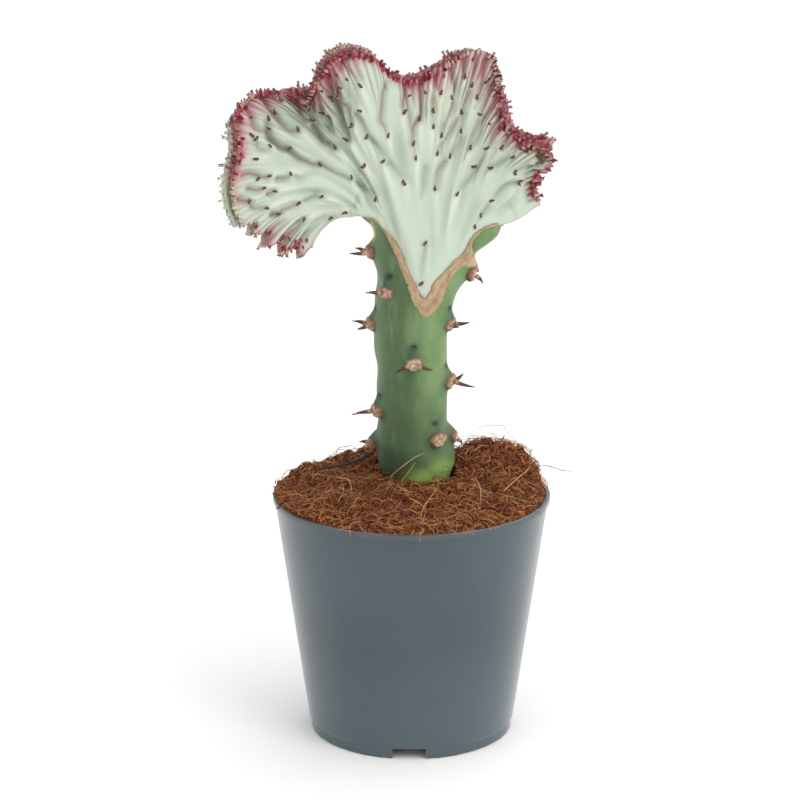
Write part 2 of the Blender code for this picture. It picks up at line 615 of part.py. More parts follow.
class Fan:
    """The fan's surface: u runs round its edge from lower left, w out along its rays."""

    samples = 8 * TOOTH_COUNT

    def __init__(self):
        self.edge = evenly_spaced(catmull_rom(EDGE_POINTS, 16) * MM, self.samples + 1)
        self.rays = catmull_rom(RAYS, 24) * MM
        self.curl = catmull_rom([(curl,) for curl in EDGE_CURL], 12) * MM
        self.rounded = {}
        self.frames = {}
        self.seam = np.array(SEAM_FAN_SIDE) * MM

    def edge_at(self, u, w):
        """The growing edge, rounded off more for rows further in."""
        if w not in self.rounded:
            self.rounded[w] = smoothed(self.edge, EDGE_SMOOTHING * (1 - w) * self.samples)
        return np.column_stack(self.column_values(self.rounded[w], u))

    @staticmethod
    def column_values(table, u):
        """Each column of a table whose rows are evenly spaced round the edge, read at u."""
        return [np.interp(u * (len(table) - 1), np.arange(len(table)), column) for column in table.T]

    def above_seam(self, x, z):
        """0 on the graft seam, growing to 1 a little above it."""
        left, right = self.seam[0], self.seam[-1]
        height = np.interp(x, self.seam[:, 0], self.seam[:, 1])
        height -= 2 * (np.maximum(0, left[0] - x) + np.maximum(0, x - right[0]))
        return smoothstep((z - height) / SEAM_BLEND)

    def middle(self, u, w):
        """The sheet halfway between the fan's two faces."""
        foot_x, foot_z, lift_x, lift_z, turn_x, turn_z = self.column_values(self.rays, u)
        edge = self.edge_at(u, w)
        turn = np.column_stack([turn_x, 0 * u, turn_z])
        lift = np.column_stack([lift_x, 0 * u, lift_z])
        foot = np.column_stack([foot_x, 0 * u, foot_z])
        finger = np.sin(np.pi * FINGER_COUNT * u / FINGER_SPAN) ** 2 - 0.5
        finger *= 1 - smoothstep(u, 0.8 * FINGER_SPAN, FINGER_SPAN)
        edge = edge + unit(edge - turn) * (finger * FINGER_HEIGHT * w ** FINGER_SHARPNESS)[:, None]
        v = 1 - w
        sheet = v ** 3 * foot + 3 * w * v ** 2 * lift + 3 * w ** 2 * v * turn + w ** 3 * edge
        curl = self.column_values(self.curl, u)[0] * w ** CURL_SHARPNESS
        lean = edge[:, 1] * w ** LEAN_SHARPNESS - curl
        sheet[:, 1] = lean * self.above_seam(sheet[:, 0], sheet[:, 2])
        return sheet

    def directions(self, u, w):
        """Outward from the front face, and out along the sheet square to its edge."""
        if w not in self.frames:
            grid = np.linspace(0, 1, 2 * TOOTH_COUNT + 1)
            along = np.gradient(self.middle(grid, w), axis=0)
            out = self.middle(grid, min(1, w + 0.03)) - self.middle(grid, max(0, w - 0.06))
            front = unit(smoothed(unit(np.cross(along, out)), FACING_SMOOTHING))
            square = unit(smoothed(unit(np.cross(front, along)), FACING_SMOOTHING))
            self.frames[w] = (grid, front, square)
        grid, *fields = self.frames[w]
        return [unit(np.column_stack([np.interp(u, grid, f[:, k]) for k in range(3)])) for f in fields]

    def half_thickness(self, u, w, sheet):
        """Half the fan's thickness, and how far it has taken over from the stem's shape."""
        thick = np.interp(w, *np.array(FAN_HALF_THICKNESS).T) * MM
        reach = np.interp(w, *np.array(SIDE_ROUNDING).T)
        from_side = np.clip(np.minimum(u, 1 - u) / reach, 0, 1)
        fan = thick * np.sqrt(1 - (1 - from_side) ** 2)
        stem = stem_half_depth(sheet[:, 0], sheet[:, 2])
        share = self.above_seam(sheet[:, 0], sheet[:, 2])
        thick = np.maximum(THINNEST_SHARE * fan, (1 - share) * stem + share * fan)
        return np.where((u > 0) & (u < 1), thick, 0), share

    def face(self, u, w, side):
        """Points of the front face for side 1, or of the back face for side -1."""
        relief = 0 * u
        for count, height, begins, ends in RIDGES:
            fade = smoothstep(w, begins, begins + RIDGE_FADE) * (1 - smoothstep(w, ends - RIDGE_FADE, ends))
            relief += fade * height * MM * np.cos(math.tau * count * u)
        u = crowded(u)
        sheet = self.middle(u, w)
        front, _ = self.directions(u, w)
        thick, share = self.half_thickness(u, w, sheet)
        sides = smoothstep(np.minimum(u, 1 - u), *RIDGE_FREE_SIDE)
        return sheet + side * front * (thick + relief * share * sides)[:, None]

    def comb(self, side, draw):
        """The row of tooth tips and the notches between them, on one side of the rim."""
        u = crowded(np.linspace(0, 1, 2 * TOOTH_COUNT + 1))
        sheet = self.middle(u, 1.0)
        front, square = self.directions(u, 1.0)
        thick, _ = self.half_thickness(u, 1.0, sheet)
        is_tooth = np.arange(len(u)) % 2 == 1
        share = np.where((u < FINGER_SPAN) | (u > SHORT_TEETH_FROM), SHORT_TOOTH_SHARE, 1.0)
        share *= [1 + draw.uniform(-1, 1) * TOOTH_VARIATION for _ in u]
        out = np.where(is_tooth, TOOTH_LENGTH * share, -TOOTH_VALLEY)
        out[[0, -1]] = 0
        depth = thick * np.where(is_tooth, 1.0, NOTCH_THICKNESS_SHARE)
        return sheet + square * out[:, None] + side * front * depth[:, None]

    def growing_line(self):
        u = crowded(np.linspace(0, 1, 2 * TOOTH_COUNT + 1))
        _, square = self.directions(u, 1.0)
        drop = GROWING_LINE_DEPTH * np.ones(len(u))
        drop[[0, -1]] = 0
        return self.middle(u, 1.0) - square * drop[:, None]


def stitch(bm, lower, upper, flip):
    """Faces between two rows, where the upper one has as many columns or twice as many."""
    def add(*corners):
        bm.faces.new(tuple(reversed(corners)) if flip else corners)

    if len(upper) == len(lower):
        for i in range(len(lower) - 1):
            add(lower[i], lower[i + 1], upper[i])
            add(lower[i + 1], upper[i + 1], upper[i])
        return
    for i in range(len(lower) - 1):
        left, middle, right = upper[2 * i], upper[2 * i + 1], upper[2 * i + 2]
        add(lower[i], middle, left)
        add(lower[i], lower[i + 1], middle)
        add(lower[i + 1], right, middle)


def fan_body(fan):
    bm = bmesh.new()
    draw = random.Random(SEED + 2)
    sides = {}
    for side in (1, -1):
        rows = []
        for w, span in FAN_ROWS:
            u = np.linspace(0, 1, 2 * TOOTH_COUNT // span + 1)
            rows.append(fan.face(u, w, side))
        rows.append(fan.comb(side, draw))
        sides[side] = rows
    front = [[bm.verts.new(p) for p in row] for row in sides[1]]
    back = []
    for shared, row in zip(front, sides[-1]):
        back.append([shared[0], *[bm.verts.new(p) for p in row[1:-1]], shared[-1]])
    line = fan.growing_line()[1:-1]
    top = [front[-1][0], *[bm.verts.new(p) for p in line], front[-1][-1]]
    for rows, flip in ((front, False), (back, True)):
        for lower, upper in zip(rows, rows[1:]):
            stitch(bm, lower, upper, flip)
    for rows, flip in ((front, False), (back, True)):
        last = rows[-1]
        for i in range(len(last) - 1):
            corners = list(dict.fromkeys([last[i], last[i + 1], top[i + 1], top[i]]))
            bm.faces.new(corners[::-1] if flip else corners)
    foot, behind = front[0], back[0]
    for i in range(len(foot) - 1):
        corners = list(dict.fromkeys([foot[i + 1], foot[i], behind[i], behind[i + 1]]))
        bm.faces.new(corners)
    bmesh.ops.triangulate(bm, faces=[f for f in bm.faces if len(f.verts) == 4])
    return bm


def fan_spine_places(fan):
    """Where the small spines stand: staggered along the rays on both faces, evenly spaced."""
    draw = random.Random(SEED + 3)
    places = []
    for row, w in enumerate(FAN_SPINE_ROWS):
        first, last = FAN_SPINE_MARGIN, 1 - FAN_SPINE_MARGIN
        line = fan.middle(np.linspace(first, last, TOOTH_COUNT), w)
        length = np.linalg.norm(np.diff(line, axis=0), axis=1).sum()
        count = max(2, round(length / FAN_SPINE_SPACING))
        for i in range(count):
            u = first + (last - first) * (i + 0.25 + 0.5 * (row % 2)) / count
            for side in (1, -1):
                sway_u, sway_w = (draw.uniform(-1, 1) * sway for sway in FAN_SPINE_SWAY)
                places.append((u + sway_u, w + sway_w, side))
    return places


def make_fan(collection):
    """The grafted fan: one sheet with ridges, a comb on both sides of its edge, and spines."""
    fan = Fan()
    crest = mesh_object("crest", fan_body(fan), collection)
    seam = seam_line(SEAM_FAN_SIDE, GAP, SEAM_OVERRUN)
    below = [(seam[0][0], CUT_BOTTOM), *seam, (seam[-1][0], CUT_BOTTOM)]
    wedge = new_cutters("wedge")
    outline_prism("below_wedge", below, SEAM_REACH, wedge)
    combine(crest, wedge, "DIFFERENCE")

    growths = new_cutters("fan growths")
    for u, w, side in fan_spine_places(fan):
        u = np.array([u])
        base = fan.face(u, w, side)[0]
        if fan.above_seam(base[:1], base[2:])[0] < FAN_SPINE_CLEAR_OF_SEAM:
            continue
        front, square = fan.directions(u, w)
        direction = Vector(front[0] * side * FAN_SPINE_FORWARD + square[0] * FAN_SPINE_OUTWARD)
        needle(Vector(base), direction, FAN_SPINE_LENGTH, FAN_SPINE_ROOT, FAN_SPINE_RADIUS, 3, growths)
    combine(crest, growths, "UNION", "MANIFOLD")
    return crest


def main():
    for obj in list(bpy.data.objects):
        bpy.data.objects.remove(obj)
    collection = bpy.data.collections.new("potted coral cactus")
    bpy.context.scene.collection.children.link(collection)

    pieces = (
        (make_pot(collection), "grey pot plastic", "#58656B", 0.42),
        (make_soil(collection), "coir potting mix", "#6F432A", 0.95),
        (make_rootstock(collection), "green stem skin", "#647A55", 0.5),
        (make_callus(collection), "corky graft callus", "#A98A62", 0.85),
        (make_fan(collection), "pale fan skin", "#CEDBCA", 0.45),
    )
    stand = bpy.data.objects.new("pot_axis", None)
    collection.objects.link(stand)
    stand.location.x = POT_AXIS_X
    for obj, material_name, colour, roughness in pieces:
        obj.data.materials.clear()
        obj.data.materials.append(make_material(material_name, colour, roughness))
        obj.parent = stand


main()
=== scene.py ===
"""Looks of the potted coral cactus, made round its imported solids: the pale waxy fan with its toothed
crimson edge, the spiny green stem, the corky graft, coir potting mix and the grey nursery pot.
It is laid out as an add-on with one operator for each piece, and is run as a script."""

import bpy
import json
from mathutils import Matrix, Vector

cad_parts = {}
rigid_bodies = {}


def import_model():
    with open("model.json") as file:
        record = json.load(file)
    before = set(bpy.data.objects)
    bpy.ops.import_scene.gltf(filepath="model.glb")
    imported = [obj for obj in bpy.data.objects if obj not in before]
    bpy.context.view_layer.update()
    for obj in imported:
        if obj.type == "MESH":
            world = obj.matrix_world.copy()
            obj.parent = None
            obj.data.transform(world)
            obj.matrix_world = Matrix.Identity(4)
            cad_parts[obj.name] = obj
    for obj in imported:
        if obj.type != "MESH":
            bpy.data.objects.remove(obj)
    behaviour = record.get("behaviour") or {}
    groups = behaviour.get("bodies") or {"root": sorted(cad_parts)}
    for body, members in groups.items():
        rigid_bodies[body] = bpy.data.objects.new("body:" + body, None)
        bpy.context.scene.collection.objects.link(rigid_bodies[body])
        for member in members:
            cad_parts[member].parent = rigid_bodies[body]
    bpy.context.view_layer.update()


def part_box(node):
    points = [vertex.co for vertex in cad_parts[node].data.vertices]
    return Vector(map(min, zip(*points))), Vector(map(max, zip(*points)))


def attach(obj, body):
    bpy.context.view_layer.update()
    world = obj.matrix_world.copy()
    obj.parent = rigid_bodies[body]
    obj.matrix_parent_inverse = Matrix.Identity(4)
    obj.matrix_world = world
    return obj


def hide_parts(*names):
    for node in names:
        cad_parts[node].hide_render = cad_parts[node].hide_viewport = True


bl_info = {
    "name": "Potted Coral Cactus",
    "version": (1, 0, 0),
    "blender": (4, 5, 0),
    "location": "3D View > Sidebar > Cactus",
    "description": "Dresses a grafted crested euphorbia that stands in a nursery pot",
    "category": "Add Mesh",
}

from functools import partial
import json
import random
from math import cos, hypot, pi, radians, sin, sqrt, tau

import bmesh
import bpy
import numpy as np
from bpy.props import FloatProperty, FloatVectorProperty, IntProperty, PointerProperty
from mathutils import Vector
from mathutils.kdtree import KDTree

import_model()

MM = 0.001
SEED = 7

# The pot's axis, lip and height are those of the solid
POT_LOW, POT_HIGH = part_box("pot")
POT_AXIS_X = (POT_LOW[0] + POT_HIGH[0]) / 2
LIP_RADIUS = (POT_HIGH[0] - POT_LOW[0]) / 2
POT_HEIGHT = POT_HIGH[2]

# Camera of the photo, round the pot's axis, in mm and pixels of its 800 pixel frame
CAMERA_PLACE = (-4.15, -1092.7, 438.4)
CAMERA_AIM = (-4.15, 0.0, 128.9)
CAMERA_FOCUS = 3027.0
FRAME_SIZE = 800
SENSOR_WIDTH = 36.0
CAMERA_SHIFT = 0.5

# Stage, in m
FLOOR_REACH = 7
LAMP_AIM_HEIGHT = 0.14

# Nursery pot
LIP_HEIGHT = 2.3 * MM
LIP_PROUD = 0.55 * MM
WALL = 1.2 * MM
BASE_RADIUS = 38.6 * MM
FLOOR_TOP = 5.8 * MM
FLOOR_THICKNESS = 1.4 * MM
FOOT_HEIGHT = 4.6 * MM
FOOT_INSET = 0.7 * MM
FOOT_WIDTH = 2.2 * MM
PAD_HEIGHT = 0.3 * MM
PAD_LENGTH = 8.0 * MM
PAD_TURN = 22
SLOT_COUNT = 4
FIRST_SLOT_TURN = -1.4
SLOT_WIDTH = 12.5 * MM
SLOT_HEIGHT = 4.3 * MM
DRAIN_COUNT = 8
DRAIN_RADIUS = 3.0 * MM
DRAIN_CIRCLE = 20.0 * MM

# Potting mix
SOIL_EDGE_DROP = 0.6 * MM
SOIL_DOME = 7.6 * MM
DOME_FALL = 1.6
HOLE_MIDDLE_X = 6.0 * MM
HOLE_RADIUS = 11.0 * MM
# Heaps: x and y of the top, reach in x and y, and height, in mm
HEAPS = ((35, 15, 20, 12, 12), (-12, 22, 10, 11, 6.5), (-24, -24, 12, 9, 1.4))
# Crossed waves: how many, their shortest and longest in mm, and their height in mm
SOIL_RIPPLES = ((9, 9, 22, 0.9), (24, 3, 7, 0.6), (30, 1.4, 3, 0.35))
HEAP_STEEPNESS_AT_WALL = 18
SPILL_TURN = 150
RIM_SPILL = (0.9 * MM, 1.3 * MM)
SOIL_SIDES = 200
STREWN_SHAPES = 8
FINE_STRANDS = 110
SOIL_RINGS = 46

# Stem: height, left edge, right edge and half depth, round the pot's axis, in mm
STEM_SECTIONS = (
    (55, -4.9, 13, 10.9), (90, -6, 12.6, 11), (98, -9, 12.8, 11.4),
    (102, -11.2, 13.8, 11.9), (105, -12.4, 15.4, 12.4), (109.5, -12.8, 15.8, 12.8),
    (114, -12.9, 13.8, 13), (120, -12.8, 13.1, 13.1), (129, -12.7, 13.2, 13.3),
    (141, -13.1, 13.3, 13.5), (152, -13.5, 13.4, 13.7), (160, -13.6, 14, 13.7),
    (166, -13.5, 15.5, 13.5), (171, -13.3, 17, 13.2), (177, -13.3, 19.8, 12.8),
    (182, -13.4, 22, 12.2), (186, -13.5, 23.6, 11.5), (189, -13.7, 27.4, 11),
    (192.5, -14.3, 31.6, 10.3), (196, -15.2, 33.3, 9.4), (199, -18.4, 34.2, 8.7),
    (202, -20.8, 34.2, 8.2), (205, -21.4, 34.2, 7.6),
)
STEM_FOOT = 55 * MM
STEM_TOP = 205 * MM
STEM_SIDES = 200
STEM_RINGS = 230

# Shields seen: turn from the front in degrees and height in mm, then the pixel of each spine's tip
# and how far that is in front of the shield, in mm
SHIELDS_SEEN = (
    (-86, 186.5, ((349, 254, 2), (355, 247, -2))),
    (-43, 173.4, ((365, 292, 3), (384, 295, 3.5))),
    (-76, 159.8, ((352, 320, 2), (357, 330, 4.5))),
    (3, 147.4, ((395, 372, 3), (433, 371, 3))),
    (-64, 127, ((351, 414, 1), (377, 415, 3))),
    (84, 178.7, ((484, 283, 1), (476, 270, -1))),
    (62, 160.6, ((470, 323, 2), (459, 327, 5))),
    (70, 138, ((475, 388, 2), (464, 374, 1))),
    (41, 117, ((433, 449, 2),)),
    (92, 115, ((463, 443, 0),)),
    (-97, 112, ((352, 456, 1), (359, 441, -2))),
)
BACK_RANKS = (156, 180, 204)
BACK_RANK_LOWEST = 117
BACK_RANK_RISE = 9.5
BACK_SPACING = 30
BACK_TOP = 176
BACK_SPINE_LENGTH = 7.4
BACK_SPREAD = 32
BACK_DROOP = 14
TUBERCLE_HEIGHT = 3 * MM
# Half widths across the stem, then distances above the shield and the reach of each form, down and up
KNOB_WIDTH, KNOB_RISE, KNOB_DOWN, KNOB_UP = 3.3 * MM, 1.8 * MM, 5.0 * MM, 2.8 * MM
SLIT_WIDTH, SLIT_RISE, SLIT_TALL, SLIT_DEPTH = 1.3 * MM, 5.8 * MM, 0.8 * MM, 0.6 * MM
BUD_WIDTH, BUD_RISE, BUD_TALL = 3.4 * MM, 5.0 * MM, 2.0 * MM

# Graft: the corky band's edge on the fan and on the stem, in pixels of the photo, from left to right
SEAM_SEEN = (
    (355.5, 212, 358, 214.5), (361, 211.5, 361.5, 216), (368.7, 213.6, 367, 218.5), (378, 219, 376, 223),
    (385, 226, 381.5, 229), (391, 234, 387, 238), (397, 243, 391.5, 248), (401.5, 251, 396, 257),
    (406, 262, 399.7, 269), (411, 274, 403.5, 281.5), (416, 284, 408, 295), (421, 292.5, 414, 307),
    (425, 297, 426, 319), (429, 289.5, 436, 311.5), (433, 281.5, 443.5, 301), (439, 275, 448, 289),
    (446, 268.5, 452, 279), (452, 261.5, 457.5, 271.5), (458, 256, 463, 267.5), (463, 251, 471.5, 263.5),
    (466.5, 245.5, 474.5, 256.5), (469.5, 239, 472.5, 246), (474.5, 233.8, 476, 237.5),
    (481.5, 228.5, 483, 231.8), (489.5, 224.7, 490.5, 228), (497.5, 222.6, 498.3, 225.8),
    (504.5, 222, 503.5, 225.5),
)

SEAM_SAMPLES = 240
CALLUS_STEPS, CALLUS_COLUMNS = 260, 13

# Growing edge of the fan, from lower left over the top: x, depth y and z in mm, redness of the front
# and of the back, the blush's width in mm, how ribbed it is and how far in its front comb reaches, in mm
EDGE = (
    (-37, -7, 187.4, 0.8, 0.5, 4, 0.8, 1.5), (-45.8, -6, 188.6, 0.9, 0.6, 5, 0.9, 2),
    (-52, -7, 191.4, 0.8, 0.5, 4.5, 0.8, 1), (-58.2, -8, 197.6, 0.5, 0.2, 3, 0.4, 0.3),
    (-64.6, -9, 201.6, 0.5, 0.1, 2, 0.2, -1), (-67.2, -10, 213.6, 0.8, 0.1, 2.5, 0.2, 0.5),
    (-64.8, -9, 227, 1, 0.1, 3, 0.2, 2.4), (-65.2, -6, 238, 1, 0.3, 4, 0.4, 2.6),
    (-59, 1, 243.2, 0.9, 0.8, 6, 0.7, 2), (-47.1, 7.5, 245.2, 0.9, 0.9, 8, 0.9, 1.2),
    (-38.2, 2.6, 245.6, 0.9, 0.9, 7, 0.9, 1.2), (-34, -7, 255.4, 0.9, 0.9, 7, 0.8, 1.8),
    (-26, -11, 263.2, 1, 0.7, 5, 0.6, 2.2), (-16.4, -8.5, 262.6, 1, 0.7, 3, 0.35, 3),
    (-9.4, -5, 255, 1, 0.9, 3, 0.4, 4), (-0.5, -1, 251.2, 1, 0.9, 5, 0.7, 4),
    (9.7, 3, 255.2, 0.85, 0.9, 8, 0.9, 2.2), (20, 10, 259.6, 0.6, 0.8, 9, 0.8, 0.6),
    (29, 12, 256.4, 0.6, 0.8, 9, 0.8, 0.6), (32.9, 8, 245.7, 0.8, 0.9, 8, 0.9, 1),
    (35.5, 0, 234.4, 1, 1, 7, 1, 2), (41.6, -7, 231.4, 1, 1, 6, 0.9, 3.2), (49.2, -8, 228.6, 1, 1, 4, 0.6, 3),
    (50.8, -5, 225, 0.8, 0.7, 2.5, 0.4, 0.8), (45.6, 3, 218.3, 1, 0.8, 6, 0.3, 3.5),
    (44.2, 7, 211, 1, 0.5, 6, 0.3, 3.5), (47.4, 4, 201.4, 0.6, 0.3, 2, 0.2, 0.5),
)
FRONT_RED, BACK_RED, BLUSH_WIDTH, RIBBED, COMB_REACH = range(3, 8)
# How far the edge curls forward, in mm, for evenly spaced places round it
EDGE_CURL = (
    0, 2, 6.5, 7, 6, 2, 1, 3, 5, 4.5, 2,
    0.5, 0, 0, 0, 0, 1, 4, 4, 1, 0,
)
CURL_SHARPNESS = 8
LEAN_SHARPNESS = 2.5

# Rays of the fan, in mm: foot x and z, the place each lifts through, then its turn outwards
RAYS = (
    (-13, 183, -14, 205, -32, 203.4),
    (-11, 180, -12, 210, -40, 215),
    (-9, 176, -10.5, 211, -37, 222),
    (-6.5, 171, -8, 209, -30, 230),
    (-3, 166, -5, 205, -20, 233),
    (2, 162.5, -1, 201, -10, 236),
    (7, 162.5, 4, 198, 1.5, 229),
    (11, 166, 9.5, 197, 13, 229),
    (15, 171, 15, 197, 24, 222),
    (19, 176, 21, 197, 33, 214),
    (22.5, 179, 28.8, 192.4, 39.8, 197.8),
)
FAN_HALF_THICKNESS = (
    (0, 13.6), (0.1, 13.1), (0.2, 12), (0.3, 9.6), (0.4, 7.6), (0.5, 6.2),
    (0.6, 5.3), (0.7, 4.6), (0.8, 4.2), (0.9, 3.8), (1, 3.4),
)
SIDE_ROUNDING = ((0, 0.4), (0.3, 0.12), (0.5, 0.05), (1, 0.03))
SEAM_BLEND = 11 * MM
THINNEST_SHARE = 0.7
EDGE_SMOOTHING = 0.075
FACING_SMOOTHING = 7
CROWDING = ((5, 0.004, 1), (11, 0.0025, 2))
FINGER_COUNT = 5
FINGER_SPAN = 0.12
FINGER_HEIGHT = 4.4 * MM
FINGER_SHARPNESS = 6
RAY_LENGTH = 85 * MM
FAN_COLUMNS = 700
TOOTH_COUNT = 140
TOOTH_SHAPES = 6
PAIR_SHAPES = 4
RIB_COUNT = 96
# Rows of the skin: where their spacing out along the rays changes, how many there are between those
# places on the front and on the back, and where they run across the rim
ROW_LIMITS = (0, 0.3, 0.72, 1)
FRONT_LEVELS, BACK_LEVELS = (9, 34, 44), (8, 13, 18)
RIM_ROWS = (0.86, 0.66, 0.46, 0.26, 0, -0.26, -0.46, -0.66, -0.86)

# Spine pairs on the front of the fan, in pixels of the photo, right and down
SPINE_PAIRS_SEEN = (
    (360, 85), (360, 110), (352, 125), (348, 139), (367, 137), (388, 136), (404, 112), (419, 119),
    (433, 111), (451, 98), (440, 93), (464, 77), (471, 86), (477, 98), (480, 115), (461, 113),
    (433, 127), (441, 136), (461, 132), (413, 144), (415, 158), (437, 154), (450, 157), (471, 148),
    (487, 149), (502, 148), (514, 156), (474, 167), (491, 168), (515, 172), (519, 182), (404, 183),
    (435, 189), (458, 194), (491, 201), (365, 165), (383, 161), (335, 148), (321, 165), (351, 178),
    (376, 199), (322, 196), (299, 203), (279, 214), (304, 219), (345, 212), (331, 218), (290, 149),
    (270, 146), (298, 130), (269, 129), (269, 119), (275, 113), (281, 101), (312, 121), (323, 113),
    (332, 100), (338, 95), (252, 136), (256, 139), (256, 159), (270, 176), (291, 174), (259, 179),
    (264, 188), (275, 191), (250, 201), (267, 208), (425, 244), (399, 242), (469, 237), (481, 216),
    (475, 227), (421, 284),
)
BACK_SPINE_ROWS = (0.34, 0.42, 0.5, 0.57, 0.64, 0.7, 0.76, 0.82)
BACK_SPINE_SPACING = 11 * MM
RIM_SPINE_ROWS = ((0.9, 0.35), (0.95, 0.8))
RIM_SPINE_SCALE = 0.75
RIM_ZONE = 0.88
# Grooves by rule: their shortest and longest reach to the next spine pair, the longest to the rim, how far
# they keep off the seen ones, and their depth against the usual one on the front and on the back
LINK_SHORTEST, LINK_LONGEST, LINK_TO_RIM, LINK_CLEARANCE = 5 * MM, 24 * MM, 34 * MM, 3.5 * MM
LINK_DEPTHS = (0.4, 0.75)

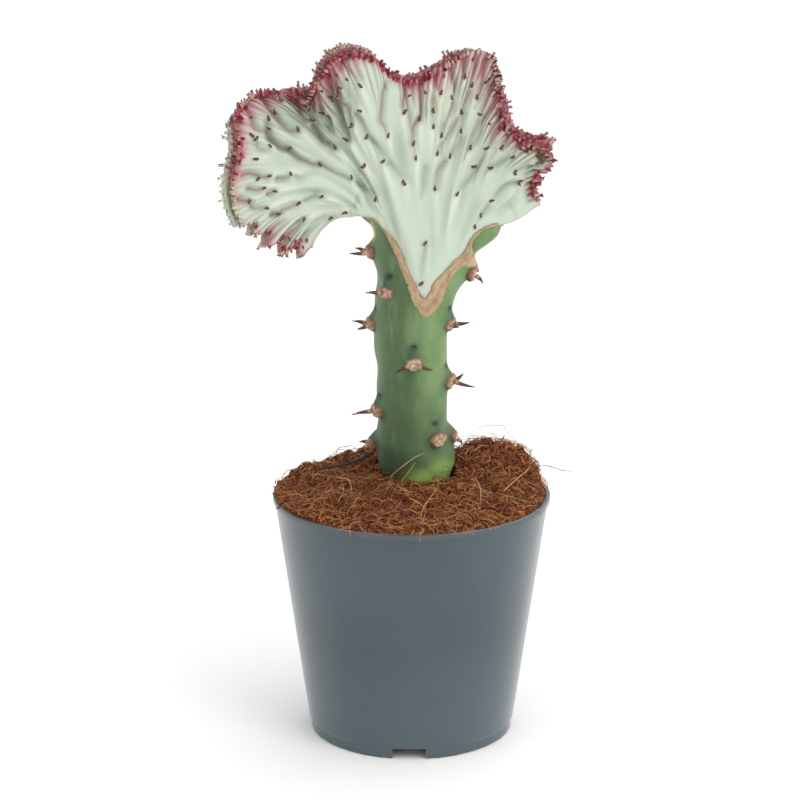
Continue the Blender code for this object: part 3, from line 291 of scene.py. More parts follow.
# Grooves on the front of the fan: depth against the usual one, how rosy, then the pixels of the
# photo along it, right and down in turn, from the growing edge inwards
GROOVES_SEEN = (
    (2, 0.1, 306, 87, 307, 92, 309, 99, 311, 106, 312.5, 111),
    (1.3, 0.1, 313, 122, 315, 126, 320, 133.5, 324.5, 140, 330, 143, 335, 148),
    (1.3, 0, 324.5, 115, 327.5, 120, 329.5, 126, 331.5, 130),
    (1.7, 0.1, 332, 100, 335.5, 106, 337.5, 112, 340, 120, 342, 126, 345, 132, 348.5, 139),
    (1.8, 0.2, 321, 62, 324.5, 69, 327, 75, 329, 82, 330, 89, 331.5, 95, 332, 100),
    (1, 0.7, 333, 70, 335.5, 82, 336, 88, 338, 95.5, 341, 105, 346, 108, 349, 114.5, 351, 125),
    (1.1, 0.6, 290, 86, 296, 98, 298.5, 106, 301, 111.5, 305, 117.5, 310.5, 121.5),
    (1.1, 0.5, 259, 91, 262, 95.5, 267, 102.5, 271.5, 108.5, 276, 114, 279.5, 118.5, 285, 125, 291.5, 130, 298, 131),
    (1.2, 0.2, 268.5, 119.5, 268, 129, 269.7, 134, 272, 139, 276.5, 143.7, 283, 148.3, 289, 149.5, 299.5, 158.5, 307,
     161.5, 312, 164.5, 321, 165.3, 333.5, 172, 346, 176.7, 351, 178.2),
    (0.5, 0, 355, 180, 360.5, 185, 366, 189, 370.5, 191.7, 376, 198.5),
    (0.7, 0.9, 247, 106, 250, 112, 252, 116, 253, 121, 255.3, 126.5, 258.7, 129.3, 263.3, 130, 269, 129),
    (0.4, 0.5, 256.5, 141.4, 258, 146, 261, 149.4, 265.6, 150, 272, 148.3),
    (0.9, 0.9, 262, 84, 265, 90, 268, 95, 272.5, 97, 277, 99.5, 281, 101),
    (0.8, 0.6, 311, 86, 314.7, 94.4, 317.6, 99, 318.7, 103.6, 320.4, 109.4, 323, 113),
    (0.5, 0.2, 354, 113, 358, 117.4, 361.8, 123, 365, 130.6, 367, 137),
    (0.6, 0, 367, 137, 374, 143, 378.7, 148.7, 382.7, 154.4, 384.4, 162.5),
    (0.5, 0, 384.4, 162.5, 390, 164, 397.6, 172.8, 404.5, 182), (1, 0.9, 347, 56, 345, 61, 342.6, 66.7, 340.3, 72.4),
    (0.5, 0.9, 387, 80, 385.7, 88.5, 384, 92.5, 382.8, 101, 381.7, 110, 380.4, 121.7, 383.3, 125.7, 385.6, 131, 387.6,
     136.4),
    (0.8, 1, 406.3, 82, 406.3, 92.5, 405.2, 98.3, 404, 107, 404, 112),
    (0.8, 1, 420, 81, 420.7, 89, 421.4, 97.4, 422, 112.8, 419, 119, 416, 123.4, 413, 130.3, 413, 137.2, 412, 144),
    (0.8, 0.5, 270.8, 217.7, 273.7, 214.9, 280.5, 213.7, 282.8, 210.9, 288, 209.1, 293.2, 206.3, 299.5, 203),
    (0.6, 0.1, 302, 202.6, 307.2, 199.7, 313, 197.4, 318.7, 196.5, 322.7, 196.8),
    (0.7, 1, 238, 197.7, 240.4, 200, 245, 201.7, 250.7, 202.5, 253, 207.4, 255.9, 209.1, 259.9, 208.6, 266, 207),
    (0.6, 1, 246.7, 188.5, 250.7, 189.6, 254.7, 190.8, 258.7, 190.8, 264, 189),
    (0.5, 0.8, 266.8, 195.9, 269.7, 194.2, 272.5, 192.5, 275, 191),
    (0.8, 0.9, 241, 177, 245, 175.8, 250.7, 174.7, 256.4, 175.8, 261, 177.6, 265.6, 178.1, 270, 176),
    (0.6, 0.3, 274.8, 178.7, 280.6, 179.3, 286.9, 178.1, 291, 175),
    (0.35, 0, 292.6, 175.8, 299.5, 178.1, 305.2, 175.8, 312, 173.5),
    (0.9, 0.7, 268, 240, 271, 233, 277, 226, 284, 221), (0.9, 0.6, 284, 243, 289, 235, 297, 228, 304, 220),
    (0.9, 0.6, 303, 246, 308, 236, 317, 226, 330, 218), (0.7, 0.9, 436, 68, 437.5, 86, 440, 92),
    (0.8, 0.6, 449, 60, 453, 75, 455.8, 89, 454.4, 99), (0.9, 0.5, 464, 52, 464.5, 65, 465, 76),
    (0.8, 0.8, 477, 51, 476, 65, 474, 76, 471.5, 86), (0.8, 0.8, 487, 54, 484, 68, 481, 86, 477.5, 98),
    (0.6, 0.4, 497, 63, 494, 71, 491, 76), (0.8, 0.8, 501, 68, 496.5, 76, 486.6, 97.5, 481, 114),
    (0.7, 0.5, 471, 89, 467, 100, 464, 109, 461.4, 131), (0.7, 0.8, 505, 84, 499, 92, 492, 106, 482.4, 120, 481, 128),
    (0.6, 0.3, 460, 115.6, 455, 125, 450, 134, 443, 143, 437.5, 152),
    (0.5, 0.1, 481, 117, 476, 128, 471, 139.5, 470, 148),
    (0.8, 0.9, 509, 107, 503.5, 117, 498, 125, 492, 134, 488, 147), (0.8, 0.8, 517, 120, 513, 128, 506, 141, 502, 148),
    (0.7, 0.9, 526, 124, 521.7, 130, 519, 142, 514, 154), (0.5, 0.1, 529, 182, 519, 183, 506, 187, 498, 195, 491, 202),
    (0.5, 0.1, 487, 149, 478, 164.7, 470, 176, 464, 184, 458, 194),
    (0.5, 0, 449.5, 158, 439, 170, 437, 180, 434.7, 190), (0.5, 0.1, 461.4, 134, 460, 142, 455, 150, 449.5, 158),
    (0.4, 0.1, 481, 128, 478, 134, 474, 142, 471, 149), (0.4, 0.1, 491, 202, 481, 216.6, 475, 227, 470, 236),
    (0.6, 0.4, 454, 100, 452, 110, 447, 121, 441.5, 133), (0.4, 0.2, 434, 94, 434, 111, 433, 119, 433.5, 127),
    (0.25, 0, 427, 164, 425, 174, 423.5, 189, 421, 198), (0.5, 0.3, 531, 166, 525, 168, 515, 172),
    (1.3, 1.4, 540, 168, 533, 169, 526.5, 170.5), (1.4, 1.4, 540, 173, 533, 174, 527, 175.5),
    (1.4, 1.4, 540, 178, 533, 179, 527, 180.5), (1.4, 1.4, 540, 183, 533, 184, 527.5, 186),
    (1.3, 1.4, 540, 188, 534, 189.5, 528, 191), (1.3, 1.4, 540, 193, 534, 194.5, 529, 196),
    (1.1, 1.2, 540, 198, 535, 199.5, 530, 201), (0.4, 0.1, 514, 156, 503, 161, 491, 169),
)
# Broad hollows on the front, sunk a little and painted in shade: pixel, radius in mm and how dark the painted shade is
HOLLOWS_SEEN = (
    (308, 101, 13, 0.62), (331, 100, 9, 0.58), (297, 140, 11, 0.2), (262, 106, 8, 0.4),
    (278, 122, 7, 0.35), (428, 174, 9, 0.1), (398, 155, 6, 0.2), (445, 160, 6, 0.25),
    (505, 165, 5, 0.2), (398, 245, 7, 0.1),
)
GROOVE_DEPTH = 1.15 * MM
GROOVE_WIDTH = 1.25 * MM
DEEP_WIDTH = 0.85 * MM
VALLEY_DEPTH = 0.95 * MM
VALLEY_WIDTH = 2.5 * MM
LINE_WIDTH = 0.36 * MM
RIB_RISE = 1.15 * MM
RIB_WIDTH = 1.7 * MM
RIB_LENGTH = 17 * MM
STRAND_STEP = 0.3 * MM
# Soft folds: waves round the edge, height in mm, the stretch of w over which they show, then where
# round the edge, how far to either side, and how dark the painted shade in their valleys is
FOLDS = (
    (5.5, 1.05, 0.02, 0.58, 0.5, 9, 0.25), (12, 0.75, 0.25, 0.78, 0.5, 9, 0.2),
    (27, 0.3, 0.5, 0.95, 0.5, 9, 0.12), (45, 0.7, 0.62, 1, 0.38, 0.06, 0.25),
)
# The fan's lower right edge, in pixels of the photo
LOWER_RIGHT_SEEN = ((500, 223.5), (508, 222.5), (516, 220.5), (524, 216.5), (531, 211.5), (538, 206.5))

# Dried patches on the front, in pixels of the photo, with their radii in mm
SCARS_SEEN = (
    (521, 148.5, 1.4), (525, 149.5, 1.9), (530, 147.5, 2), (535, 147, 1.9), (540, 149, 2.2), (544, 152, 2.6),
    (542, 157, 2.9), (541, 162, 2.7), (546, 149, 2.2), (548, 156, 2.2),
)
DEAD_LINE = (0.105, 0.172)


def srgb(code):
    """A hex colour as the linear values that a shader takes."""
    channels = [int(code[i:i + 2], 16) / 255 for i in (1, 3, 5)]
    linear = [c / 12.92 if c <= 0.04045 else ((c + 0.055) / 1.055) ** 2.4 for c in channels]
    return (*linear, 1.0)


def tint(name, description, code):
    """A colour that can be set in the panel."""
    return FloatVectorProperty(
        name=name, description=description, subtype="COLOR", size=4, min=0, max=1, default=srgb(code)
    )


def amount(name, description, default, **limits):
    """A number that can be set in the panel."""
    return FloatProperty(name=name, description=description, default=default, **limits)


class PotSettings(bpy.types.PropertyGroup):
    """The nursery pot"""
    colour: tint("Plastic", "Colour of the moulded plastic", "#36454C")
    roughness: amount("Roughness", "How dull the plastic is", 0.27, min=0, max=1)
    sides: IntProperty(name="Sides", description="Facets round the wall", default=160, min=24)


class SoilSettings(bpy.types.PropertyGroup):
    """The coir potting mix"""
    # The dark crumb colour is also painted shade on the bed between the crumbs
    dark: tint("Dark crumb", "Colour of damp coir", "#3F2114")
    light: tint("Light crumb", "Colour of drier coir", "#A8673C")
    fibre: tint("Fibre", "Colour of the coconut fibres", "#C9975F")
    crumb: amount("Largest crumb", "Width of the largest crumbs", 1.65 * MM, unit="LENGTH")
    crumbs: amount("Crumb density", "Crumbs on a square metre", 1150000.0)
    fibres: amount("Fibre density", "Short fibres on a square metre", 400000.0)
    hairs: amount("Hair density", "Long fibres on a square metre", 4500.0)


class StemSettings(bpy.types.PropertyGroup):
    """The green grafting stem"""
    green: tint("Skin", "Colour of the stem's right side", "#6F8859")
    # The shaded skin colour is painted shade over the stem's left side
    shade: tint("Shaded skin", "Colour of the stem's left side", "#39512F")
    fresh: tint("Fresh growth", "Colour of the young swelling at the base", "#819B4D")
    horn: tint("Spine", "Colour of the spines", "#4F2A24")
    shield: tint("Shield", "Colour of the shields under the spines", "#B49A78")
    spine: amount("Spine scale", "Size of the spines", 1.0, min=0.2)


class FanSettings(bpy.types.PropertyGroup):
    """The crested fan"""
    skin: tint("Skin", "Colour of the waxy skin", "#B5C2B1")
    # Ridge: a painted highlight on the ridge tops. Valley and blush: painted shade between the ridges, mauve near the
    # edge; ridge and valley also tint the dried stretch of the rim
    ridge: tint("Ridges", "Colour of the ridge tops", "#D6DBC5")
    valley: tint("Valleys", "Colour between the ridges", "#69745E")
    mauve: tint("Blush", "Colour of the valleys near the edge", "#9A4357")
    crimson: tint("Growing edge", "Colour of the growing edge", "#961A32")
    tooth: amount("Tooth length", "Length of the comb's largest teeth", 2.9 * MM, unit="LENGTH")
    spine: amount("Spine scale", "Size of the small spines", 1.0, min=0.2)


class StageSettings(bpy.types.PropertyGroup):
    """Floor, lights and camera"""
    floor: tint("Floor", "Colour of the pale floor", "#FCFCFB")
    sky: amount("Sky", "Strength of the even white light", 1.04, min=0)
    side: FloatVectorProperty(
        name="Brighter side", description="Where more of the even light comes from", default=(0.42, -0.12, 0)
    )
    key: amount("Key light", "Power of the large lamp", 4.6, unit="POWER")
    fill: amount("Fill light", "Power of the second lamp", 1.6, unit="POWER")


def catmull_rom(points, per_span):
    """A smooth run of points through the given ones."""
    given = np.array(points, dtype=float)
    padded = np.vstack([2 * given[0] - given[1], given, 2 * given[-1] - given[-2]])
    t = np.arange(per_span)[:, None] / per_span
    spans = []
    for before, start, end, after in zip(padded, padded[1:], padded[2:], padded[3:]):
        straight = (end - before) * t
        bend = (2 * before - 5 * start + 4 * end - after) * t ** 2
        twist = (3 * start - before - 3 * end + after) * t ** 3
        spans.append(0.5 * (2 * start + straight + bend + twist))
    return np.vstack(spans + [given[-1:]])


def lengths(vectors):
    return np.linalg.norm(vectors, axis=-1)


def run_length(points):
    """Distance along a curve at each of its points."""
    return np.concatenate([[0], np.cumsum(lengths(np.diff(points, axis=0)))])


def evenly_spaced(points, count):
    """The same curve with its points at equal distances."""
    reached = run_length(points)
    wanted = np.linspace(0, reached[-1], count)
    return np.column_stack([np.interp(wanted, reached, column) for column in points.T])


def smoothed(points, sigma):
    """Round a curve off with a bell of the given width, in samples, keeping its ends."""
    if sigma < 0.5:
        return points
    reach = int(3 * sigma)
    bell = np.exp(-0.5 * (np.arange(-reach, reach + 1) / sigma) ** 2)
    bell /= bell.sum()
    head = 2 * points[0] - points[reach:0:-1]
    tail = 2 * points[-1] - points[-2:-reach - 2:-1]
    longer = np.vstack([head, points, tail])
    return np.column_stack([np.convolve(column, bell, "valid") for column in longer.T])


def unit(vectors):
    return vectors / lengths(vectors)[..., None]


def smoothstep(value, start=0.0, end=1.0):
    t = np.clip((value - start) / (end - start), 0, 1)
    return t * t * (3 - 2 * t)


def bell(distance, width):
    return np.exp(-(distance / width) ** 2)


def xyz(x, y, z):
    """Points from their coordinates, where each is an array or one number for all."""
    return np.stack(np.broadcast_arrays(x, y, z), axis=-1)


def circle(count):
    """The angles of evenly spaced places round a circle."""
    return np.arange(count) * tau / count


class Ripples:
    """An uneven field made of crossed waves, from about -1 to 1, the same on every run; their lengths in mm."""

    def __init__(self, seed, count, shortest, longest, axes=2):
        draw = np.random.default_rng(seed)
        heading = unit(draw.normal(size=(count, axes)))
        self.waves = heading * (tau / draw.uniform(shortest * MM, longest * MM, size=(count, 1)))
        self.phases = draw.uniform(0, tau, count)

    def __call__(self, *axes):
        places = np.stack(np.broadcast_arrays(*axes), axis=-1)
        return np.sin(places @ self.waves.T + self.phases).sum(axis=-1) * 1.4 / sqrt(len(self.phases))


def to_frame(points):
    """Points round the pot's axis, moved to the frame of the solids."""
    return np.asarray(points, dtype=float) + (POT_AXIS_X, 0, 0)


def camera_axes():
    """Place of the photo's camera, its way ahead, right and up."""
    place = np.array(CAMERA_PLACE) * MM
    ahead = unit(np.array(CAMERA_AIM) * MM - place)
    right = unit(np.cross(ahead, (0, 0, 1)))
    return place, ahead, right, np.cross(right, ahead)


def seen_at(points):
    """Where the photo's camera sees points that are given round the pot's axis, in pixels."""
    place, ahead, right, up = camera_axes()
    away = points - place
    depth = away @ ahead
    middle = FRAME_SIZE / 2 + CAMERA_SHIFT
    across = middle + CAMERA_FOCUS * (away @ right) / depth
    down = middle - CAMERA_FOCUS * (away @ up) / depth
    return np.stack([across, down], axis=-1)


def on_plane(pixels, y):
    """The points, as deep as y, that the photo's camera sees at the pixels."""
    place, ahead, right, up = camera_axes()
    off = np.asarray(pixels, dtype=float) - (FRAME_SIZE / 2 + CAMERA_SHIFT)
    ray = ahead * CAMERA_FOCUS + off[..., :1] * right - off[..., 1:] * up
    return place + ray * ((y - place[1]) / ray[..., 1])[..., None]


def grid_faces(rows, columns, wrap_columns=True, wrap_rows=False):
    """Quads between the points of a grid that is stored row by row, whose rows are closed rings or not."""
    r = np.arange(rows if wrap_rows else rows - 1)[:, None]
    c = np.arange(columns if wrap_columns else columns - 1)[None, :]
    next_r, next_c = (r + 1) % rows, (c + 1) % columns
    corners = (r * columns + c, r * columns + next_c, next_r * columns + next_c, next_r * columns + c)
    return np.stack(np.broadcast_arrays(*corners), axis=-1).reshape(-1, 4).tolist()


def capped_faces(rows, columns):
    """The same for a grid of closed rings, with a face over its first and its last."""
    last = [(rows - 1) * columns + i for i in reversed(range(columns))]
    return grid_faces(rows, columns) + [list(range(columns)), last]


def mesh_from(name, points, faces, attributes=None):
    """A mesh with its own point attributes, doubles merged and faces pointing out."""
    mesh = bpy.data.meshes.new(name)
    mesh.from_pydata(np.asarray(points).reshape(-1, 3).tolist(), [], faces)
    for label, values in (attributes or {}).items():
        values = np.asarray(values, dtype=float)
        is_vector = values.ndim > 1 and values.shape[-1] == 3
        layer = mesh.attributes.new(label, "FLOAT_VECTOR" if is_vector else "FLOAT", "POINT")
        layer.data.foreach_set("vector" if is_vector else "value", values.ravel())
    if faces:
        bm = bmesh.new()
        bm.from_mesh(mesh)
        bmesh.ops.remove_doubles(bm, verts=bm.verts, dist=0.001 * MM)
        bmesh.ops.recalc_face_normals(bm, faces=bm.faces)
        bm.to_mesh(mesh)
        bm.free()
        mesh.shade_smooth()
    return mesh


def new_object(name, mesh, collection=None):
    obj = bpy.data.objects.new(name, mesh)
    (collection or bpy.context.scene.collection).objects.link(obj)
    return obj


def finish_piece(obj, material, replaced=()):
    """Give a finished piece its material and its body, and hide the solids that it stands for."""
    obj.data.materials.clear()
    obj.data.materials.append(material)
    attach(obj, "root")
    if replaced:
        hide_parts(*replaced)
    return obj


def built(name, shape, finish, replaced=()):
    """A finished piece from its points round the pot's axis, its faces and its attributes."""
    points, faces, attributes = shape
    mesh = mesh_from(name, to_frame(points), faces, attributes)
    return finish_piece(new_object(name, mesh), finish, replaced)


def baked(obj, name):
    """What an object looks like with its modifiers, as a plain mesh in a new object."""
    bpy.context.view_layer.update()
    evaluated = obj.evaluated_get(bpy.context.evaluated_depsgraph_get())
    mesh = bpy.data.meshes.new_from_object(evaluated)
    mesh.name = name
    bpy.data.objects.remove(obj)
    return new_object(name, mesh)


def add_node(tree, kind, inputs=None, **settings):
    """Add a node with its settings, and set or link its inputs."""
    node = tree.nodes.new(kind)
    for key, value in settings.items():
        setattr(node, key, value)
    for key, value in (inputs or {}).items():
        if isinstance(value, bpy.types.NodeSocket):
            tree.links.new(value, node.inputs[key])
        else:
            node.inputs[key].default_value = value
    return node


def ranged(value, low, high, most=1.0, least=0.0, **settings):
    """A value with its stretch from low to high mapped to least to most."""
    inputs = {"Value": value, "From Min": low, "From Max": high, "To Min": least, "To Max": most}
    return add_node(value.id_data, "ShaderNodeMapRange", inputs, **settings).outputs[0]


def noise(place, scale, detail, roughness=0.5):
    inputs = {"Vector": place, "Scale": scale, "Detail": detail, "Roughness": roughness}
    return add_node(place.id_data, "ShaderNodeTexNoise", inputs).outputs["Fac"]


def attribute(tree, label, output="Fac"):
    return add_node(tree, "ShaderNodeAttribute", attribute_name=label).outputs[output]


def object_place(tree):
    return add_node(tree, "ShaderNodeTexCoord").outputs["Object"]


def product(first, second):
    return add_node(first.id_data, "ShaderNodeMath", {0: first, 1: second}, operation="MULTIPLY").outputs[0]


def chance(tree, seed, most=1.0, least=0, data_type="FLOAT"):
    """A random value for each point, the same on every run."""
    inputs = {"Min": least, "Max": most, "Seed": seed}
    return add_node(tree, "FunctionNodeRandomValue", inputs, data_type=data_type).outputs["Value"]


def new_tree(name, sockets):
    """A Geometry Nodes tree with the named inputs; returns it with those inputs."""
    tree = bpy.data.node_groups.new(name, "GeometryNodeTree")
    for label, kind in sockets.items():
        tree.interface.new_socket(label, in_out="INPUT", socket_type="NodeSocket" + kind)
    tree.interface.new_socket("Geometry", in_out="OUTPUT", socket_type="NodeSocketGeometry")
    return tree, add_node(tree, "NodeGroupInput").outputs


def grow(host, tree, name, **values):
    """Run a Geometry Nodes tree on an object and keep its result as a plain mesh."""
    modifier = host.modifiers.new(tree.name, "NODES")
    modifier.node_group = tree
    for item in tree.interface.items_tree:
        if item.item_type == "SOCKET" and item.in_out == "INPUT" and item.name in values:
            modifier[item.identifier] = values[item.name]
    return baked(host, name)


def stand_shapes(tree, given, points, number, turned, size):
    """End a tree with one of its shapes on each point, made real and given its material."""
    shapes = add_node(tree, "GeometryNodeCollectionInfo", {
        "Collection": given["Shapes"], "Separate Children": True, "Reset Children": True,
    })
    stood = add_node(tree, "GeometryNodeInstanceOnPoints", {
        "Points": points, "Instance": shapes.outputs[0], "Pick Instance": True, "Instance Index": number,
        "Rotation": turned, "Scale": size,
    })
    real = add_node(tree, "GeometryNodeRealizeInstances", {"Geometry": stood.outputs[0]})
    done = add_node(tree, "GeometryNodeSetMaterial", {"Geometry": real.outputs[0], "Material": given["Finish"]})
    add_node(tree, "NodeGroupOutput", {"Geometry": done.outputs[0]})
    return tree


def standing_tree():
    """Stands shapes on points, each along the point's own axes, at its own size."""
    tree, given = new_tree("Shapes on points", {
        "Points": "Geometry", "Shapes": "Collection", "Size": "Float", "Finish": "Material",
    })
    out, aside, size, pick = (
        add_node(tree, "GeometryNodeInputNamedAttribute", {"Name": label}, data_type=kind).outputs["Attribute"]
        for label, kind in {
            "out": "FLOAT_VECTOR", "aside": "FLOAT_VECTOR", "size": "FLOAT_VECTOR", "pick": "FLOAT",
        }.items()
    )
    turned = add_node(
        tree, "FunctionNodeAxesToRotation", {"Primary Axis": out, "Secondary Axis": aside},
        primary_axis="Z", secondary_axis="X",
    )
    scaled = add_node(tree, "ShaderNodeVectorMath", {0: size, "Scale": given["Size"]}, operation="SCALE")
    return stand_shapes(tree, given, given["Points"], pick, turned.outputs[0], scaled.outputs[0])


def strewing_tree():
    """Strews shapes over a surface, each turned at random and tilted from it up to a limit."""
    tree, given = new_tree("Shapes strewn", {
        "Surface": "Geometry", "Shapes": "Collection", "Density": "Float", "Seed": "Int",
        "Smallest": "Float", "Largest": "Float", "Tilt": "Float", "Finish": "Material",
    })
    points = add_node(tree, "GeometryNodeDistributePointsOnFaces", {
        "Mesh": given["Surface"], "Density": given["Density"], "Seed": given["Seed"],
    })
    angles = add_node(tree, "ShaderNodeCombineXYZ", {
        "X": chance(tree, 2, given["Tilt"], product(given["Tilt"], -1.0)), "Z": chance(tree, 1, tau),
    })
    turn = add_node(tree, "FunctionNodeEulerToRotation", {0: angles.outputs[0]})
    turned = add_node(tree, "FunctionNodeRotateRotation", {
        0: points.outputs["Rotation"], 1: turn.outputs[0],
    }, rotation_space="LOCAL")
    # Large shapes are rarer than small ones
    rare = add_node(tree, "ShaderNodeMath", {0: chance(tree, 3), 1: 2.2}, operation="POWER")
    size = ranged(rare.outputs[0], 0.0, 1.0, given["Largest"], given["Smallest"])
    tinted = add_node(tree, "GeometryNodeStoreNamedAttribute", {
        "Geometry": points.outputs["Points"], "Name": "shade", "Value": chance(tree, 4),
    }, data_type="FLOAT", domain="POINT")
    which = chance(tree, 5, STREWN_SHAPES - 1, data_type="INT")
    return stand_shapes(tree, given, tinted.outputs["Geometry"], which, turned.outputs[0], size)


class Shapes:
    """A short-lived collection of shapes for a tree to pick from, in the order they are added."""

    def __init__(self, name):
        self.collection = bpy.data.collections.new(name)
        bpy.context.scene.collection.children.link(self.collection)

    def add(self, mesh):
        new_object(f"shape_{len(self.collection.objects):02d}", mesh, self.collection)

    def clear(self):
        for obj in list(self.collection.objects):
            bpy.data.objects.remove(obj)
        bpy.data.collections.remove(self.collection)


def spread(name, host, tree, meshes, finish, slot, **values):
    """A finished piece of many shapes, which a Geometry Nodes tree spreads over its host."""
    shapes = Shapes(name)
    for mesh in meshes:
        shapes.add(mesh)
    piece = grow(host, tree, name, Shapes=shapes.collection, Finish=finish, **values)
    shapes.clear()
    return finish_piece(piece, finish)


def tube(path, radii, sides):
    """Points and faces of a closed round rod along a path."""
    path = np.asarray(path, dtype=float)
    along = unit(np.gradient(path, axis=0))
    across = unit(np.cross(along, np.where(abs(along[:, 2:]) > 0.9, (1.0, 0, 0), (0, 0, 1.0))))
    upward = np.cross(across, along)
    turns = circle(sides)[:, None]
    rings = path[:, None] + np.asarray(radii)[:, None, None] * (
        across[:, None] * np.cos(turns) + upward[:, None] * np.sin(turns)
    )
    return rings.reshape(-1, 3), capped_faces(len(path), sides)


def ball(subdivisions, radius):
    """Points and faces of a round ball."""
    bm = bmesh.new()
    bmesh.ops.create_icosphere(bm, subdivisions=subdivisions, radius=radius)
    points = np.array([vert.co[:] for vert in bm.verts])
    faces = [[vert.index for vert in face.verts] for face in bm.faces]
    bm.free()
    return points, faces


def joined(parts):
    """Several (points, faces, attributes) as one."""
    points, faces, attributes = [], [], {}
    for part_points, part_faces, part_attributes in parts:
        first = sum(len(p) for p in points)
        points.append(np.asarray(part_points))
        faces += [[first + corner for corner in face] for face in part_faces]
        for label, values in part_attributes.items():
            attributes.setdefault(label, []).append(values)
    return np.vstack(points), faces, {label: np.concatenate(v) for label, v in attributes.items()}


# ---- materials ----


def new_material(name, roughness, **sockets):
    """A material with a Principled shader; returns it with its tree and that shader."""
    material = bpy.data.materials.new(name)
    material.use_nodes = True
    tree = material.node_tree
    shader = tree.nodes["Principled BSDF"]
    shader.inputs["Roughness"].default_value = roughness
    for key, value in sockets.items():
        shader.inputs[key.replace("_", " ")].default_value = value
    return material, tree, shader


def layered(base, layers):
    """Colours laid over one another, each as far as its mask says."""
    for mask, colour in layers:
        inputs = {0: mask, 6: base, 7: srgb(colour) if isinstance(colour, str) else colour}
        base = add_node(mask.id_data, "ShaderNodeMix", inputs, data_type="RGBA").outputs[2]
    return base


def paint(shader, base, layers):
    shader.id_data.links.new(layered(base, layers), shader.inputs["Base Color"])


def bump(shader, height, depth, strength):
    inputs = {"Height": height, "Distance": depth, "Strength": strength}
    node = add_node(shader.id_data, "ShaderNodeBump", inputs)
    shader.id_data.links.new(node.outputs[0], shader.inputs["Normal"])


def polypropylene(settings):
    # Injection-moulded polypropylene: an even satin grey with a faint mould grain and soft gloss
    material, tree, shader = new_material(
        "Moulded polypropylene", settings.roughness, IOR=1.55, Sheen_Weight=0.3, Sheen_Roughness=0.3
    )
    place = object_place(tree)
    height = add_node(tree, "ShaderNodeSeparateXYZ", {0: place}).outputs["Z"]
    paint(shader, settings.colour, (
        (ranged(noise(place, 28.0, 2.0), 0.35, 0.75, 0.12), "#5C6A70"),
        (ranged(height, 45 * MM, 5 * MM, 0.3), "#5E6A6F"),
        (ranged(height, POT_HEIGHT - LIP_HEIGHT - 0.4 * MM, POT_HEIGHT, 0.3), "#55595A"),
    ))
    bump(shader, noise(place, 1400.0, 2.0), 0.02 * MM, 0.25)
    return material


def coir_crumb(settings):
    # Loose coconut-husk crumbs: matt reddish brown, darker where damp, with no gloss;
    # the bed under them takes the dark colour as painted shade in the gaps between crumbs
    material, tree, shader = new_material("Coir crumbs", 0.95, Specular_IOR_Level=0.2)
    place = object_place(tree)
    fine = noise(place, 1500.0, 3.0)
    dryness_and_gap_shade = add_node(tree, "ShaderNodeMath", {0: noise(place, 160.0, 4.0), 1: attribute(tree, "shade")})
    paint(shader, settings.dark, (
        (ranged(dryness_and_gap_shade.outputs[0], 0.62, 1.32), settings.light),
        (ranged(fine, 0.42, 0.7, 0.5), "#8A4A28"),
    ))
    bump(shader, fine, 0.3 * MM, 0.8)
    return material


def coconut_fibre(settings):
    # Dry coconut fibre: golden tan strands with a faint silky gloss, some of them darker
    material, tree, shader = new_material("Coconut fibre", 0.6, Specular_IOR_Level=0.35)
    shade = attribute(tree, "shade")
    paint(shader, settings.fibre, (
        (ranged(shade, 0.35, 0.95, 0.0, 1.0), "#82492A"),
        (ranged(shade, 0.0, -1.0), "#33211A"),
    ))
    return material


def stem_finish(settings):
    # Living stem skin: smooth waxy green, mottled, with the faintest bloom to soften its edges;
    # its left side is painted in shade with a painted highlight along the left edge, and it is darker towards the foot
    material, tree, shader = new_material(
        "Waxy stem skin", 0.5, IOR=1.43, Sheen_Weight=0.1, Sheen_Roughness=0.4, Subsurface_Weight=0.06,
        Subsurface_Radius=(1.0 * MM, 1.5 * MM, 0.6 * MM), Subsurface_Scale=1.0, Sheen_Tint=srgb("#DCE8DF"),
    )
    place = object_place(tree)
    spot = add_node(tree, "ShaderNodeSeparateXYZ", {0: place}).outputs
    stretched = add_node(tree, "ShaderNodeMapping", {"Vector": place, "Scale": (1, 1, 0.25)}).outputs[0]
    streak = noise(stretched, 240.0, 3.0)
    smooth = {"interpolation_type": "SMOOTHSTEP"}
    # Painted shade over the left side, and a painted highlight along the left edge
    shaded = ranged(spot["X"], POT_AXIS_X + 7.5 * MM, POT_AXIS_X - 2 * MM, 0.8, **smooth)
    painted_edge_light = ranged(spot["X"], POT_AXIS_X - 8 * MM, POT_AXIS_X - 13.5 * MM, 0.42, **smooth)
    paint(shader, settings.green, (
        (ranged(noise(place, 110.0, 5.0, 0.6), 0.44, 0.62, 0.75), "#557A43"),
        # the painted shade, then the painted highlight
        (shaded, settings.shade),
        (painted_edge_light, "#7B9673"),
        (ranged(streak, 0.5, 0.72, 0.35), "#7C9668"),
        # darker towards the foot
        (ranged(spot["Z"], 140 * MM, 104 * MM, 0.85), "#2A4024"),
        (attribute(tree, "knob"), "#2F4D3C"),
        (attribute(tree, "fresh"), settings.fresh),
        (attribute(tree, "bud"), "#162A20"),
        (attribute(tree, "cut"), "#B59D78"),
    ))
    bump(shader, streak, 0.12 * MM, 0.35)
    return material


def horn(settings):
    # Horny spines on corky shields: tan, cracked and matt at the base, maroon and harder at the tip
    material, tree, shader = new_material("Spine horn", 0.5, IOR=1.5)
    crust = noise(object_place(tree), 900.0, 4.0, 0.65)
    reach = attribute(tree, "reach")
    paint(shader, settings.shield, (
        (attribute(tree, "edge"), "#75443A"),
        (attribute(tree, "middle"), "#DDCDB0"),
        (ranged(crust, 0.44, 0.62, 0.75), "#7C5040"),
        (ranged(reach, 0.0, 0.2), settings.horn),
        (ranged(reach, 0.6, 1.0, 0.6), "#2B2426"),
    ))
    bump(shader, crust, 0.25 * MM, 0.6)
    return material


